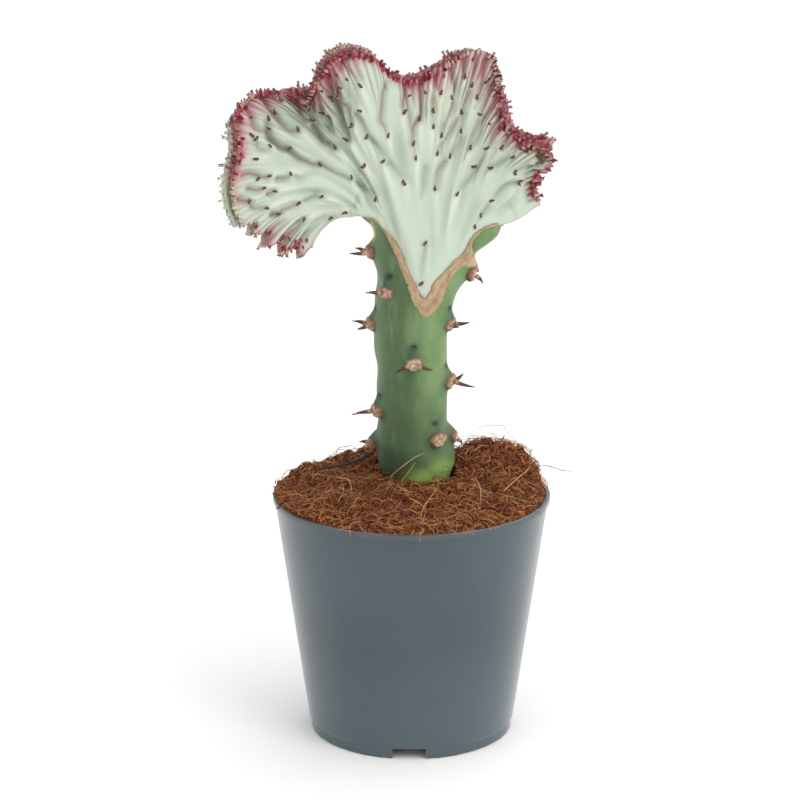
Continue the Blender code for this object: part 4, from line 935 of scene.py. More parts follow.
def callus_cork():
    # Dry wound cork: tan and papery, with grain along the seam and dark hairline edges
    material, tree, shader = new_material("Dry callus cork", 0.85, Specular_IOR_Level=0.3)
    grain = noise(attribute(tree, "grain", "Vector"), 900.0, 4.0, 0.6)
    paint(shader, srgb("#AE9A7B"), (
        (ranged(grain, 0.44, 0.66, 0.75), "#84664A"),
        (ranged(noise(object_place(tree), 420.0, 3.0), 0.45, 0.7, 0.6), "#A9856A"),
        (attribute(tree, "edge"), "#5B3A2C"),
    ))
    bump(shader, grain, 0.3 * MM, 0.7)
    return material


def fan_finish(settings):
    # Living crested skin: pale, thick and waxy, so light sinks in a little and gloss stays soft;
    # its hollows, grooves and valleys are painted in shade and its ridge tops carry a painted highlight
    material, tree, shader = new_material(
        "Waxy crest skin", 0.4, IOR=1.45, Subsurface_Weight=0.12,
        Subsurface_Radius=(1.4 * MM, 1.6 * MM, 1.0 * MM), Subsurface_Scale=1.0,
    )
    place = object_place(tree)
    cloud, fine = noise(place, 70.0, 3.0), noise(place, 650.0, 3.0)
    broken = product(attribute(tree, "rim"), ranged(fine, 0.35, 0.65, 1.0, 0.55))
    paint(shader, settings.skin, (
        (ranged(cloud, 0.4, 0.65, 0.4), "#B3C2B4"),
        # Painted shade in the hollows and deep grooves, a painted highlight on the ridge tops, and painted shade in the
        # valleys, mauve near the edge
        (attribute(tree, "hollow"), "#5F6856"),
        (attribute(tree, "ridge"), settings.ridge),
        (attribute(tree, "valley"), settings.valley),
        (attribute(tree, "blush"), "#C97F90"),
        (attribute(tree, "mauve"), settings.mauve),
        (attribute(tree, "rose"), "#A34C60"),
        (broken, settings.crimson),
        (product(broken, ranged(cloud, 0.5, 0.62, 0.8)), "#560C1B"),
        (attribute(tree, "scar"), "#4B441C"),
    ))
    bump(shader, fine, 0.06 * MM, 0.25)
    return material


def tooth_flesh(settings):
    # Young comb teeth: crimson or pinker along their length, with dry grey-brown tips
    material, tree, shader = new_material("Young tooth flesh", 0.55, IOR=1.45, Specular_IOR_Level=0.25)
    place, reach = object_place(tree), attribute(tree, "reach")
    climbing = product(ranged(reach, 0.0, 0.4, 1.0, 0.92), attribute(tree, "red"))
    red = product(climbing, ranged(noise(place, 700.0, 2.0), 0.35, 0.65, 1.0, 0.8))
    patch = noise(place, 260.0, 2.0)
    reds = layered(settings.crimson, (
        (ranged(patch, 0.5, 0.62, 0.75), "#C05A74"),
        (ranged(patch, 0.5, 0.4, 0.75), "#5E0C1E"),
    ))
    paint(shader, srgb("#CBD9BF"), ((red, reds), (ranged(reach, 0.6, 1.1), "#453632")))
    return material


def young_horn():
    # Small spines of the fan: dark brown horn on a tan cushion
    material, tree, shader = new_material("Young spine horn", 0.5, IOR=1.5)
    paint(shader, srgb("#7C5240"), ((ranged(attribute(tree, "reach"), 0.0, 0.35), "#45302A"),))
    return material


def water():
    # Clear water beads: they bend the green behind them and hold a sharp highlight
    material, _, _ = new_material("Clear water", 0.02, IOR=1.33, Transmission_Weight=1.0)
    return material


# ---- nursery pot ----


def wall_radius(z):
    """Outer radius of the pot's tapered wall."""
    top = LIP_RADIUS - LIP_PROUD
    return BASE_RADIUS + (top - BASE_RADIUS) * z / POT_HEIGHT


def rounded_corners(corners, radius, steps=3):
    """A run of corners with each one but the ends turned into a short bend."""
    points = [corners[0]]
    for before, corner, after in zip(corners, corners[1:], corners[2:]):
        before, corner, after = (Vector(c) for c in (before, corner, after))
        cut = min(radius, (corner - before).length / 2.2, (after - corner).length / 2.2)
        start = corner + (before - corner).normalized() * cut
        end = corner + (after - corner).normalized() * cut
        for step in range(steps + 1):
            t = step / steps
            points.append(tuple(start * (1 - t) ** 2 + corner * 2 * t * (1 - t) + end * t * t))
    points.append(corners[-1])
    return points


def pot_profile():
    """The wall's section, from the middle of the floor up the inside and down the outside."""
    lip_bottom = POT_HEIGHT - LIP_HEIGHT
    foot = wall_radius(FOOT_HEIGHT) - FOOT_INSET
    floor_bottom = FLOOR_TOP - FLOOR_THICKNESS
    inner_top = wall_radius(POT_HEIGHT) - WALL
    corners = [
        (0, FLOOR_TOP),
        (wall_radius(FLOOR_TOP) - WALL - 2 * MM, FLOOR_TOP),
        (wall_radius(FLOOR_TOP + 2 * MM) - WALL, FLOOR_TOP + 2 * MM),
        (inner_top, POT_HEIGHT),
        (LIP_RADIUS, POT_HEIGHT),
        (LIP_RADIUS - 0.15 * MM, lip_bottom),
        (wall_radius(lip_bottom), lip_bottom),
        (wall_radius(FOOT_HEIGHT), FOOT_HEIGHT),
        (foot, FOOT_HEIGHT - 0.5 * MM),
        (foot, PAD_HEIGHT),
        (foot - FOOT_WIDTH, PAD_HEIGHT),
        (foot - FOOT_WIDTH, floor_bottom),
        (0, floor_bottom),
    ]
    return rounded_corners(corners, 0.5 * MM)


def foot_block(degrees, out, z, size, collection):
    """A box set across the foot ring; 0 degrees is the front."""
    turn = radians(degrees)
    bm = bmesh.new()
    bmesh.ops.create_cube(bm, size=1)
    mesh = bpy.data.meshes.new("block")
    bm.to_mesh(mesh)
    bm.free()
    block = new_object("block", mesh, collection)
    block.scale = size
    block.rotation_euler = (0, 0, turn)
    block.location = (sin(turn) * out + POT_AXIS_X, -cos(turn) * out, z)


def make_pot(settings):
    """The turned wall with feet joined to it and slots and drain holes cut out of it."""
    profile = np.array(pot_profile())
    turns = circle(settings.sides)
    points = xyz(profile[:, :1] * np.cos(turns), profile[:, :1] * np.sin(turns), profile[:, 1:])
    faces = grid_faces(len(profile), settings.sides)
    pot = new_object("pot_wall", mesh_from("pot_wall", to_frame(points), faces))

    foot_middle = wall_radius(FOOT_HEIGHT) - FOOT_INSET - FOOT_WIDTH / 2
    pads, slots = Shapes("pads"), Shapes("slots")
    for slot in range(SLOT_COUNT):
        turn = FIRST_SLOT_TURN + slot * 360 / SLOT_COUNT
        foot_block(turn, foot_middle, 0, (SLOT_WIDTH, 10 * MM, 2 * SLOT_HEIGHT), slots.collection)
        for side in (-1, 1):
            size = (PAD_LENGTH, FOOT_WIDTH * 0.6, 3 * PAD_HEIGHT)
            foot_block(turn + side * PAD_TURN, foot_middle, 1.5 * PAD_HEIGHT, size, pads.collection)
    for hole in range(DRAIN_COUNT + 1):
        turn = (hole + 0.5) * tau / DRAIN_COUNT
        out = DRAIN_CIRCLE if hole < DRAIN_COUNT else 0
        middle = (sin(turn) * out + POT_AXIS_X, -cos(turn) * out)
        ends = [(*middle, FLOOR_TOP - 3 * MM), (*middle, FLOOR_TOP + 3 * MM)]
        rod, faces = tube(ends, (DRAIN_RADIUS, DRAIN_RADIUS), 24)
        new_object("drain", mesh_from("drain", rod, faces), slots.collection)
    for shapes, operation in ((pads, "UNION"), (slots, "DIFFERENCE")):
        cut = pot.modifiers.new(operation.title(), "BOOLEAN")
        cut.operand_type = "COLLECTION"
        cut.collection = shapes.collection
        cut.operation = operation
        cut.solver = "EXACT"
    pot = baked(pot, "nursery_pot")
    for shapes in (pads, slots):
        shapes.clear()
    pot.data.shade_smooth()
    pot.data.set_sharp_from_angle(angle=radians(32))
    return finish_piece(pot, polypropylene(settings), ("pot",))


# ---- coir potting mix ----


def soil_grid():
    """The crumbly top of the mix as rings of points, from the stem out to the pot's wall."""
    edge_height = POT_HEIGHT - SOIL_EDGE_DROP
    outer = wall_radius(edge_height) - WALL - 0.1 * MM
    share, turns = np.linspace(0, 1, SOIL_RINGS)[:, None], circle(SOIL_SIDES)
    x = (1 - share) * (HOLE_MIDDLE_X + HOLE_RADIUS * np.cos(turns)) + share * outer * np.cos(turns)
    y = (1 - share) * HOLE_RADIUS * np.sin(turns) + share * outer * np.sin(turns)
    z = edge_height + SOIL_DOME * (1 - share ** DOME_FALL)
    for heap_x, heap_y, reach_x, reach_y, height in np.array(HEAPS) * MM:
        near = np.exp(-((x - heap_x) / reach_x) ** 2 - ((y - heap_y) / reach_y) ** 2)
        z = z + height * near * np.minimum(1, HEAP_STEEPNESS_AT_WALL * (1 - share))
    inside = smoothstep(share, 0.0, 0.05) * (1 - 0.6 * smoothstep(share, 0.93, 1.0))
    for number, (count, shortest, longest, depth) in enumerate(SOIL_RIPPLES):
        z = z + inside * (depth * MM) * Ripples(SEED + number, count, shortest, longest)(x, y)
    # At the left and behind, the mix is piled a little over the rim
    spill = smoothstep(np.cos(turns - radians(SPILL_TURN)), -0.2, 0.5) * smoothstep(share, 0.75, 0.96)
    outward, upward = RIM_SPILL
    return xyz(x + np.cos(turns) * spill * outward, y + np.sin(turns) * spill * outward, z + spill * upward)


def make_soil(settings):
    """The bed of mix: its crumbly top, the wall side, the floor side and the hole for the stem."""
    turns = circle(SOIL_SIDES)

    def ring(middle_x, radius, z):
        return xyz(middle_x + radius * np.cos(turns), radius * np.sin(turns), z)[None]

    floor = FLOOR_TOP + 0.3 * MM
    corner = floor + 2 * MM
    rings = np.concatenate([
        ring(0, 1 * MM, floor),
        ring(0, wall_radius(floor) - WALL - 3 * MM, floor),
        ring(0, wall_radius(corner) - WALL - 0.2 * MM, corner),
        soil_grid()[::-1],
        ring(HOLE_MIDDLE_X, HOLE_RADIUS, STEM_FOOT),
        ring(HOLE_MIDDLE_X, 1 * MM, STEM_FOOT),
    ])
    # The bed under the crumbs gets the lowest value, so it is painted dark as shade in the gaps between them
    shape = rings, capped_faces(len(rings), SOIL_SIDES), {"shade": np.full(rings[..., 0].shape, -0.1)}
    return built("coir_bed", shape, coir_crumb(settings), ("soil",))


def soil_surface():
    """The open top of the mix, for crumbs and fibres to lie on."""
    top = soil_grid()
    faces = grid_faces(len(top), SOIL_SIDES)
    mesh = mesh_from("coir_top", to_frame(top), faces)
    if sum(polygon.normal.z * polygon.area for polygon in mesh.polygons) < 0:
        mesh.flip_normals()
    return new_object("coir_top", mesh)


def crumb_shape(seed):
    """One broken crumb about 1 unit wide."""
    draw = random.Random(seed)
    bm = bmesh.new()
    if seed % 2:
        bmesh.ops.create_uvsphere(bm, u_segments=4, v_segments=2, radius=0.6)
    else:
        bmesh.ops.create_icosphere(bm, subdivisions=1, radius=0.5)
    stretch = Vector((draw.uniform(1.2, 3.2), draw.uniform(0.5, 0.85), draw.uniform(0.35, 0.65)))
    for vert in bm.verts:
        vert.co = vert.co * draw.uniform(0.6, 1.3) * stretch
    mesh = bpy.data.meshes.new("crumb")
    bm.to_mesh(mesh)
    bm.free()
    return mesh


def fibre_shape(seed, steps, thickness, curl):
    """One curved fibre about 1 unit long that starts at its root and arches over."""
    draw = np.random.default_rng(seed)
    t = np.linspace(0, 1, steps)
    bend = draw.uniform(-1, 1, 3) * curl
    path = np.column_stack([
        t - 0.5 + 0.08 * np.sin(tau * t * draw.uniform(0.6, 1.6)),
        bend[0] * (t - 0.5) ** 2 + 0.12 * bend[1] * np.sin(tau * t * draw.uniform(0.8, 1.8)),
        0.12 + 0.35 * abs(bend[2]) * t * (1 - t) * 4 - 0.12 * t,
    ])
    radii = thickness * (1 - 0.6 * abs(2 * t - 1) ** 3)
    return mesh_from("fibre", *tube(path, radii, 3))


def make_crumbs(settings):
    """Broken crumbs, strewn over the mix by a Geometry Nodes tree."""
    meshes = [crumb_shape(seed) for seed in range(STREWN_SHAPES)]
    return spread(
        "coir_crumbs", soil_surface(), strewing_tree(), meshes, coir_crumb(settings), "coir_mix",
        Density=settings.crumbs, Seed=SEED, Smallest=settings.crumb * 0.25, Largest=settings.crumb, Tilt=pi,
    )


def make_fibres(settings):
    """Short fibres and long hairs, strewn over the mix by a Geometry Nodes tree."""
    finish = coconut_fibre(settings)
    for name, density, shortest, longest, steps, thickness, curl, tilt in (
        ("coir_fibres", settings.fibres, 2.2, 9.0, 7, 0.019, 0.8, 0.3),
        ("coir_hairs", settings.hairs, 9.0, 20.0, 14, 0.006, 1.2, 0.14),
    ):
        meshes = [fibre_shape(seed, steps, thickness, curl) for seed in range(STREWN_SHAPES)]
        spread(
            name, soil_surface(), strewing_tree(), meshes, finish, "coir_mix", Density=density,
            Seed=SEED + steps, Smallest=shortest * MM, Largest=longest * MM, Tilt=tilt,
        )


# Loose strands seen: thickness and shade, then points round the pot's axis, in mm
STRANDS = (
    (0.5, -1, ((-14.5, 3, 107.5), (-19, 3, 105.2), (-26, 4, 102.4), (-33, 5, 100.8), (-41, 6, 99.2))),
    (0.45, -1, ((-23, 3.6, 103.4), (-25.2, 3.4, 105.6), (-24.2, 3.2, 107.4), (-22.9, 3.2, 108.4))),
    (0.16, 0.3, ((44, 0, 102.5), (51, -1, 103.6), (56, -1, 102), (61, -1, 101.2))),
    (0.13, 0.5, ((18, 4, 110), (24, 3, 112.8), (31, 3, 113.4), (40, 4, 111), (43, 5, 110.2))),
    (0.4, 0.15, ((30, 8, 108), (33, 7, 110), (34.6, 7, 111.6), (35.2, 7, 113.4))),
    (0.17, 0.9, ((-1, -27, 99), (2, -30, 98.6), (5, -34, 97.2), (4.5, -40, 96.2), (3.5, -46, 94.6))),
    (0.17, 0.9, ((9.5, -22, 101.5), (6.5, -29, 99.3), (4, -36, 97.8), (3.2, -44, 95.6))),
    (0.18, 0.8, ((22, -16, 103), (24.5, -20, 103.2), (25.5, -26, 101), (25.2, -33, 98.4))),
    (0.15, 1, ((-28, -6, 100.5), (-24, -12, 101.8), (-22.5, -18, 100.6), (-22.8, -25, 98.2))),
    (0.15, 1, ((-8, -13, 103), (-4, -16, 107.5), (1, -16.5, 111.5), (4.5, -16, 113))),
    (0.15, 0.9, ((-4, -15, 101.5), (-1, -17.5, 106.5), (1.5, -18, 110))),
    (0.16, 0.9, ((34, -20, 99.5), (39, -14, 102.2), (43, -8, 103.6), (45, 0, 103.4))),
)


def make_strands(settings):
    """The twig and the loose hairs that the photo shows one by one, and fine ones in front."""
    parts, strands = [], list(STRANDS)
    draw = random.Random(SEED + 30)
    for _ in range(FINE_STRANDS):
        x, y = draw.gauss(10, 15), -draw.uniform(27, 46)
        rest = 98.0 - 4.5 * (hypot(x, y) / 50) ** 2
        heading, length = draw.uniform(0, tau), draw.uniform(2, 5)
        if hypot(x, y) + length > 49:
            continue
        ahead = np.array([cos(heading), sin(heading)]) * length
        bow = np.array([-ahead[1], ahead[0]]) * draw.uniform(-0.4, 0.4)
        ends = ((-1, 0), (-0.3, 0.8), (0.4, 0.8), (1, 0))
        points = [(x + k * ahead[0] + b * bow[0], y + k * ahead[1] + b * bow[1], rest + 0.8 * b) for k, b in ends]
        strands.append((0.09, draw.uniform(0.6, 1.0), points))
    for thickness, shade, points in strands:
        path = catmull_rom(points, 6) * MM
        t = np.linspace(0, 1, len(path))
        radii = thickness * MM * (1 - 0.6 * t ** 4) * (1 + 0.15 * np.sin(19 * t))
        rod, faces = tube(path, radii, 6)
        parts.append((rod, faces, {"shade": np.full(len(rod), shade)}))
    return built("loose_strands", joined(parts), coconut_fibre(settings))


# ---- grafting stem ----


STEM_TABLE = catmull_rom(STEM_SECTIONS, 8) * MM


def stem_section(z):
    """Middle x, half width and half depth of the stem at a height."""
    left, right, depth = (np.interp(z, STEM_TABLE[:, 0], STEM_TABLE[:, k]) for k in (1, 2, 3))
    return (left + right) / 2, (right - left) / 2, depth


def stem_half_depth(x, z):
    middle, half_width, depth = stem_section(z)
    across = np.clip(np.abs(x - middle) / half_width, 0, 1)
    return depth * np.sqrt(1 - across ** 2)


def stem_surface(turn, z):
    """Points of the stem's skin and their outward directions; turn 0 is the front."""
    middle, half_width, depth = stem_section(z)
    side, front = np.sin(turn), -np.cos(turn)
    outward = unit(xyz(side / half_width, front / depth, 0))
    return xyz(middle + half_width * side, depth * front, z), outward


def stem_spot(turn, height):
    """One point of the stem's skin, its outward direction and the way across it, to the right."""
    (point, *_), (outward, *_) = stem_surface(np.array([turn]), np.array([height]))
    return point, outward, np.array([-outward[1], outward[0], 0])


def shields():
    """Turn and height of each shield and the points that its spines reach: those seen, then ranks behind."""
    places = []
    for turn, height, tips in SHIELDS_SEEN:
        turn, height = radians(turn), height * MM
        point, _, _ = stem_spot(turn, height)
        places.append((turn, height, [on_plane(tip[:2], point[1] - tip[2] * MM) for tip in tips]))
    splay, droop = radians(BACK_SPREAD), radians(BACK_DROOP)
    for rank, turn in enumerate(BACK_RANKS):
        turn = radians(turn)
        for height in np.arange(BACK_RANK_LOWEST + BACK_RANK_RISE * rank, BACK_TOP, BACK_SPACING) * MM:
            point, outward, across = stem_spot(turn, height)
            crown = point + outward * TUBERCLE_HEIGHT
            reach = outward * cos(splay) - np.array([0, 0, sin(droop)])
            tips = [crown + BACK_SPINE_LENGTH * MM * (reach + side * across * sin(splay)) for side in (-1, 1)]
            places.append((turn, height, tips))
    return places


def seam_lines(count):
    """The seam's edge on the fan and its edge on the stem as evenly spaced x and z, from left to right."""
    seen = catmull_rom(SEAM_SEEN, 8)
    lines = []
    for pixels in (seen[:, :2], seen[:, 2:]):
        depth = np.zeros(len(pixels))
        for _ in range(4):
            points = on_plane(pixels, -depth)
            depth = stem_half_depth(points[:, 0], points[:, 2])
        lines.append(points[:, (0, 2)])
    both = evenly_spaced(np.hstack(lines), count)
    return both[:, :2], both[:, 2:]


def seam_middle():
    """A function from x to the height of the seam's middle; beyond its ends it runs on level."""
    fan_side, stem_side = seam_lines(SEAM_SAMPLES)
    x, z = ((fan_side + stem_side) / 2).T
    return partial(np.interp, xp=np.maximum.accumulate(x), fp=z)


# Patches on the stem: kind, x and z round the pot's axis, width and height, in mm; front only
STEM_PATCHES = (
    ("fresh", 11, 103, 6.5, 6.5), ("fresh", 5, 100.5, 8, 5.5), ("fresh", -1, 97, 6, 4.5),
    ("cut", -14.8, 192.5, 1.3, 6), ("cut", 21.8, 183.2, 2, 2.2),
)


def make_stem(settings):
    """The stem's skin with a knob under each shield, a bud slit above it, and its cleft top."""
    z = np.linspace(STEM_FOOT + 1 * MM, STEM_TOP, STEM_RINGS)[:, None]
    z, turn = np.broadcast_arrays(z, circle(STEM_SIDES))
    points, outward = stem_surface(turn, z)
    _, half_width, _ = stem_section(z)
    swell = 0.3 * MM * Ripples(SEED + 3, 10, 12, 30, 3)(*np.moveaxis(points, -1, 0))
    bud, knob = np.zeros(z.shape), np.zeros(z.shape)
    for shield_turn, height, _ in shields():
        wrapped = (turn - shield_turn + pi) % tau - pi
        across, up = wrapped * half_width, z - height
        above = up - KNOB_RISE
        hump = bell(across, KNOB_WIDTH) * bell(above, np.where(above > 0, KNOB_UP, KNOB_DOWN))
        slit = bell(across, SLIT_WIDTH) * bell(up - SLIT_RISE, SLIT_TALL)
        swell += TUBERCLE_HEIGHT * hump
        swell -= SLIT_DEPTH * slit
        bud = np.maximum(bud, 1.2 * slit + 0.3 * bell(across, BUD_WIDTH) * bell(up - BUD_RISE, BUD_TALL))
        knob = np.maximum(knob, 0.85 * hump ** 1.2)
    masks = {label: np.zeros(z.shape) for label in ("fresh", "cut")}
    for kind, x, height, wide, tall in STEM_PATCHES:
        near = bell(points[..., 0] - x * MM, wide * MM) * bell(z - height * MM, tall * MM) * (points[..., 1] < 0)
        sharp = (0.2, 0.65) if kind == "cut" else (0.05, 1.0)
        masks[kind] = np.maximum(masks[kind], smoothstep(near, *sharp))
    swell += 1.2 * MM * masks["fresh"]
    points = points + outward * swell[..., None]

    above = points[..., 2] - seam_middle()(points[..., 0])
    points[..., 1] *= 1 - 0.5 * smoothstep(above, -0.4 * MM, 1.2 * MM)
    points[..., 2] -= np.maximum(0, above - 0.5 * MM)
    attributes = {"bud": np.clip(bud, 0, 1), "knob": knob, **masks}
    attributes = {label: np.concatenate([v.ravel(), [0, 0]]) for label, v in attributes.items()}
    foot, top = points[0].mean(axis=0), points[-1].mean(axis=0)
    faces = grid_faces(STEM_RINGS, STEM_SIDES)
    count = STEM_RINGS * STEM_SIDES
    last = count - STEM_SIDES
    for i in range(STEM_SIDES):
        j = (i + 1) % STEM_SIDES
        faces += [[i, j, count], [last + j, last + i, count + 1]]
    shape = np.vstack([points.reshape(-1, 3), foot, top]), faces, attributes
    return built("stem_skin", shape, stem_finish(settings), ("rootstock",))


def shield_shape(seed):
    """A ragged cracked cushion about 1 unit across, hollow in the middle, facing up."""
    draw = np.random.default_rng(seed)
    rings, sides = 10, 22
    share, turns = np.linspace(0, 1, rings)[:, None], circle(sides)
    lobes = sum(draw.uniform(0.03, 0.1) * np.sin(k * turns + draw.uniform(0, tau)) for k in (2, 3, 5, 7))
    lumps = 0.05 * draw.normal(size=(rings, sides)) * np.sin(pi * share)
    height = 0.24 * (1 - share ** 2) + 0.12 * bell(share - 0.66, 0.2) - 0.04 * bell(share, 0.36) - 0.08 + lumps
    top = xyz(0.52 * share * (1 + lobes) * np.cos(turns), 0.5 * share * (1 + lobes) * np.sin(turns), height)
    points = np.concatenate([top, top[-1:] * (0.9, 0.9, 0) + (0, 0, -0.5)])
    faces = grid_faces(rings + 1, sides)
    faces.append([rings * sides + i for i in range(sides)])
    middle = np.repeat(np.append(0.85 * bell(share, 0.45), 0), sides)
    edge = np.repeat(np.append(0.8 * smoothstep(share, 0.7, 1.0), 1), sides)
    return mesh_from("shield", points, faces, {"reach": 0 * middle, "middle": middle, "edge": edge})


def spine_shape(bend):
    """A slim horn 1 unit long and a little over 1 wide, growing up from its root and bending a little."""
    t = np.linspace(-0.15, 1, 9)
    path = xyz(bend * t ** 2, 0, t)
    grown = np.clip(t, 0, 1)
    rod, faces = tube(path, 0.8 * (1 - grown) ** 0.85 + 0.03, 8)
    reach = np.repeat(grown, 8)
    return mesh_from("spine", rod, faces, {"reach": reach, "middle": 0 * reach, "edge": 0 * reach})


def point_cloud(rows):
    """Points with the axes, size and shape that the standing tree reads, from a list of rows."""
    places, out, aside, size, pick, red = (np.array(column, dtype=float) for column in zip(*rows))
    attributes = {"out": out, "aside": aside, "size": size, "pick": pick, "red": red}
    return new_object("points", mesh_from("points", to_frame(places), [], attributes))


def make_stem_spines(settings):
    """Corky shields and their spine pairs, stood on the stem by a Geometry Nodes tree."""
    meshes = [shield_shape(seed) for seed in range(3)] + [spine_shape(bend) for bend in (0.35, -0.35)]
    draw = random.Random(SEED + 1)
    rows = []
    for turn, height, tips in shields():
        point, outward, across = stem_spot(turn, height)
        crown = point + outward * (TUBERCLE_HEIGHT - 0.45 * MM) - np.array([0, 0, 0.4 * MM])
        lift = unit(outward + np.array([0, 0, -0.3]))
        wide = draw.uniform(5.6, 6.8) * MM
        rows.append((crown, lift, across, (wide, wide * draw.uniform(0.9, 1.1), 4.4 * MM), draw.randrange(3), 0))
        for tip in tips:
            toward = unit(tip - crown)
            side = 1 if toward @ across > 0 else -1
            base = crown + outward * 0.3 * MM + toward * 1.6 * MM + side * across * 0.8 * MM
            reach = tip - base
            length = lengths(reach)
            rows.append((base, reach / length, (0, 0, -1), (1.15 * MM, 1.15 * MM, length), 3 if side < 0 else 4, 0))
    return spread(
        "stem_spines", point_cloud(rows), standing_tree(), meshes, horn(settings), "stem_skin", Size=settings.spine
    )


def make_callus():
    """The corky seam: a ragged band that follows the V on the front, both edges and the back."""
    fan_side, stem_side = seam_lines(CALLUS_STEPS)
    share = np.linspace(-0.02, 1.02, CALLUS_COLUMNS)
    line = stem_side[:, None] + share[None, :, None] * (fan_side - stem_side)[:, None]
    x, z = line[..., 0], line[..., 1]
    rough = Ripples(SEED + 4, 24, 1.2, 5)(x, z)
    ragged = Ripples(SEED + 5, 12, 2, 7)(x, z) * 0.16 * MM
    crown = np.sin(pi * np.clip(share, 0, 1)) ** 0.5
    rise = -0.9 * MM + 1.7 * MM * crown + 0.5 * MM * bell(share - 0.86, 0.12) + 0.16 * MM * rough * crown
    depth = np.maximum(stem_half_depth(x, z) + rise, 0.4 * MM)
    x, z = x + ragged * (share > 0.5), z + ragged * (share < 0.5)
    rings = np.concatenate([xyz(x, -depth, z), xyz(x, depth, z)[:, ::-1]], axis=1)
    grain = xyz(run_length(stem_side)[:, None] * 0.22, share * 4 * MM, 0)
    grain = np.concatenate([grain, (grain + (0, 0, 0.1))[:, ::-1]], axis=1)
    edge = np.maximum(0.9 * bell(share - 1.0, 0.07), 0.5 * bell(share, 0.05))
    attributes = {"grain": grain.reshape(-1, 3), "edge": np.tile(np.append(edge, edge[::-1]), CALLUS_STEPS)}
    shape = rings, capped_faces(CALLUS_STEPS, 2 * CALLUS_COLUMNS), attributes
    return built("callus_seam", shape, callus_cork(), ("graft_callus",))


# Water beads at the stem's base: x, z round the pot's axis and radius, in mm
BEADS = (
    (12, 105.6, 0.55), (13.4, 103, 0.35), (13, 101, 0.45), (12.4, 99.2, 0.6), (11.2, 107.6, 0.3), (10.2, 103.6, 0.3),
)


def make_beads():
    """Drops of water left on the fresh swelling."""
    parts = []
    for x, z, radius in BEADS:
        x, z = x * MM, z * MM
        drop, faces = ball(3, radius * MM)
        middle = (x + 1.0 * MM, -stem_half_depth(x, z) - 1.7 * MM, z)
        parts.append((drop * (1, 0.8, 1.15) + middle, faces, {}))
    return built("water_beads", joined(parts), water())


# ---- crested fan ----


def crowded(u):
    """Places round the fan's edge, drawn together here and there, with both ends kept."""
    moved = u + sum(height * np.sin(tau * count * u + phase) for count, height, phase in CROWDING)
    first = sum(height * sin(phase) for count, height, phase in CROWDING)
    return moved - first


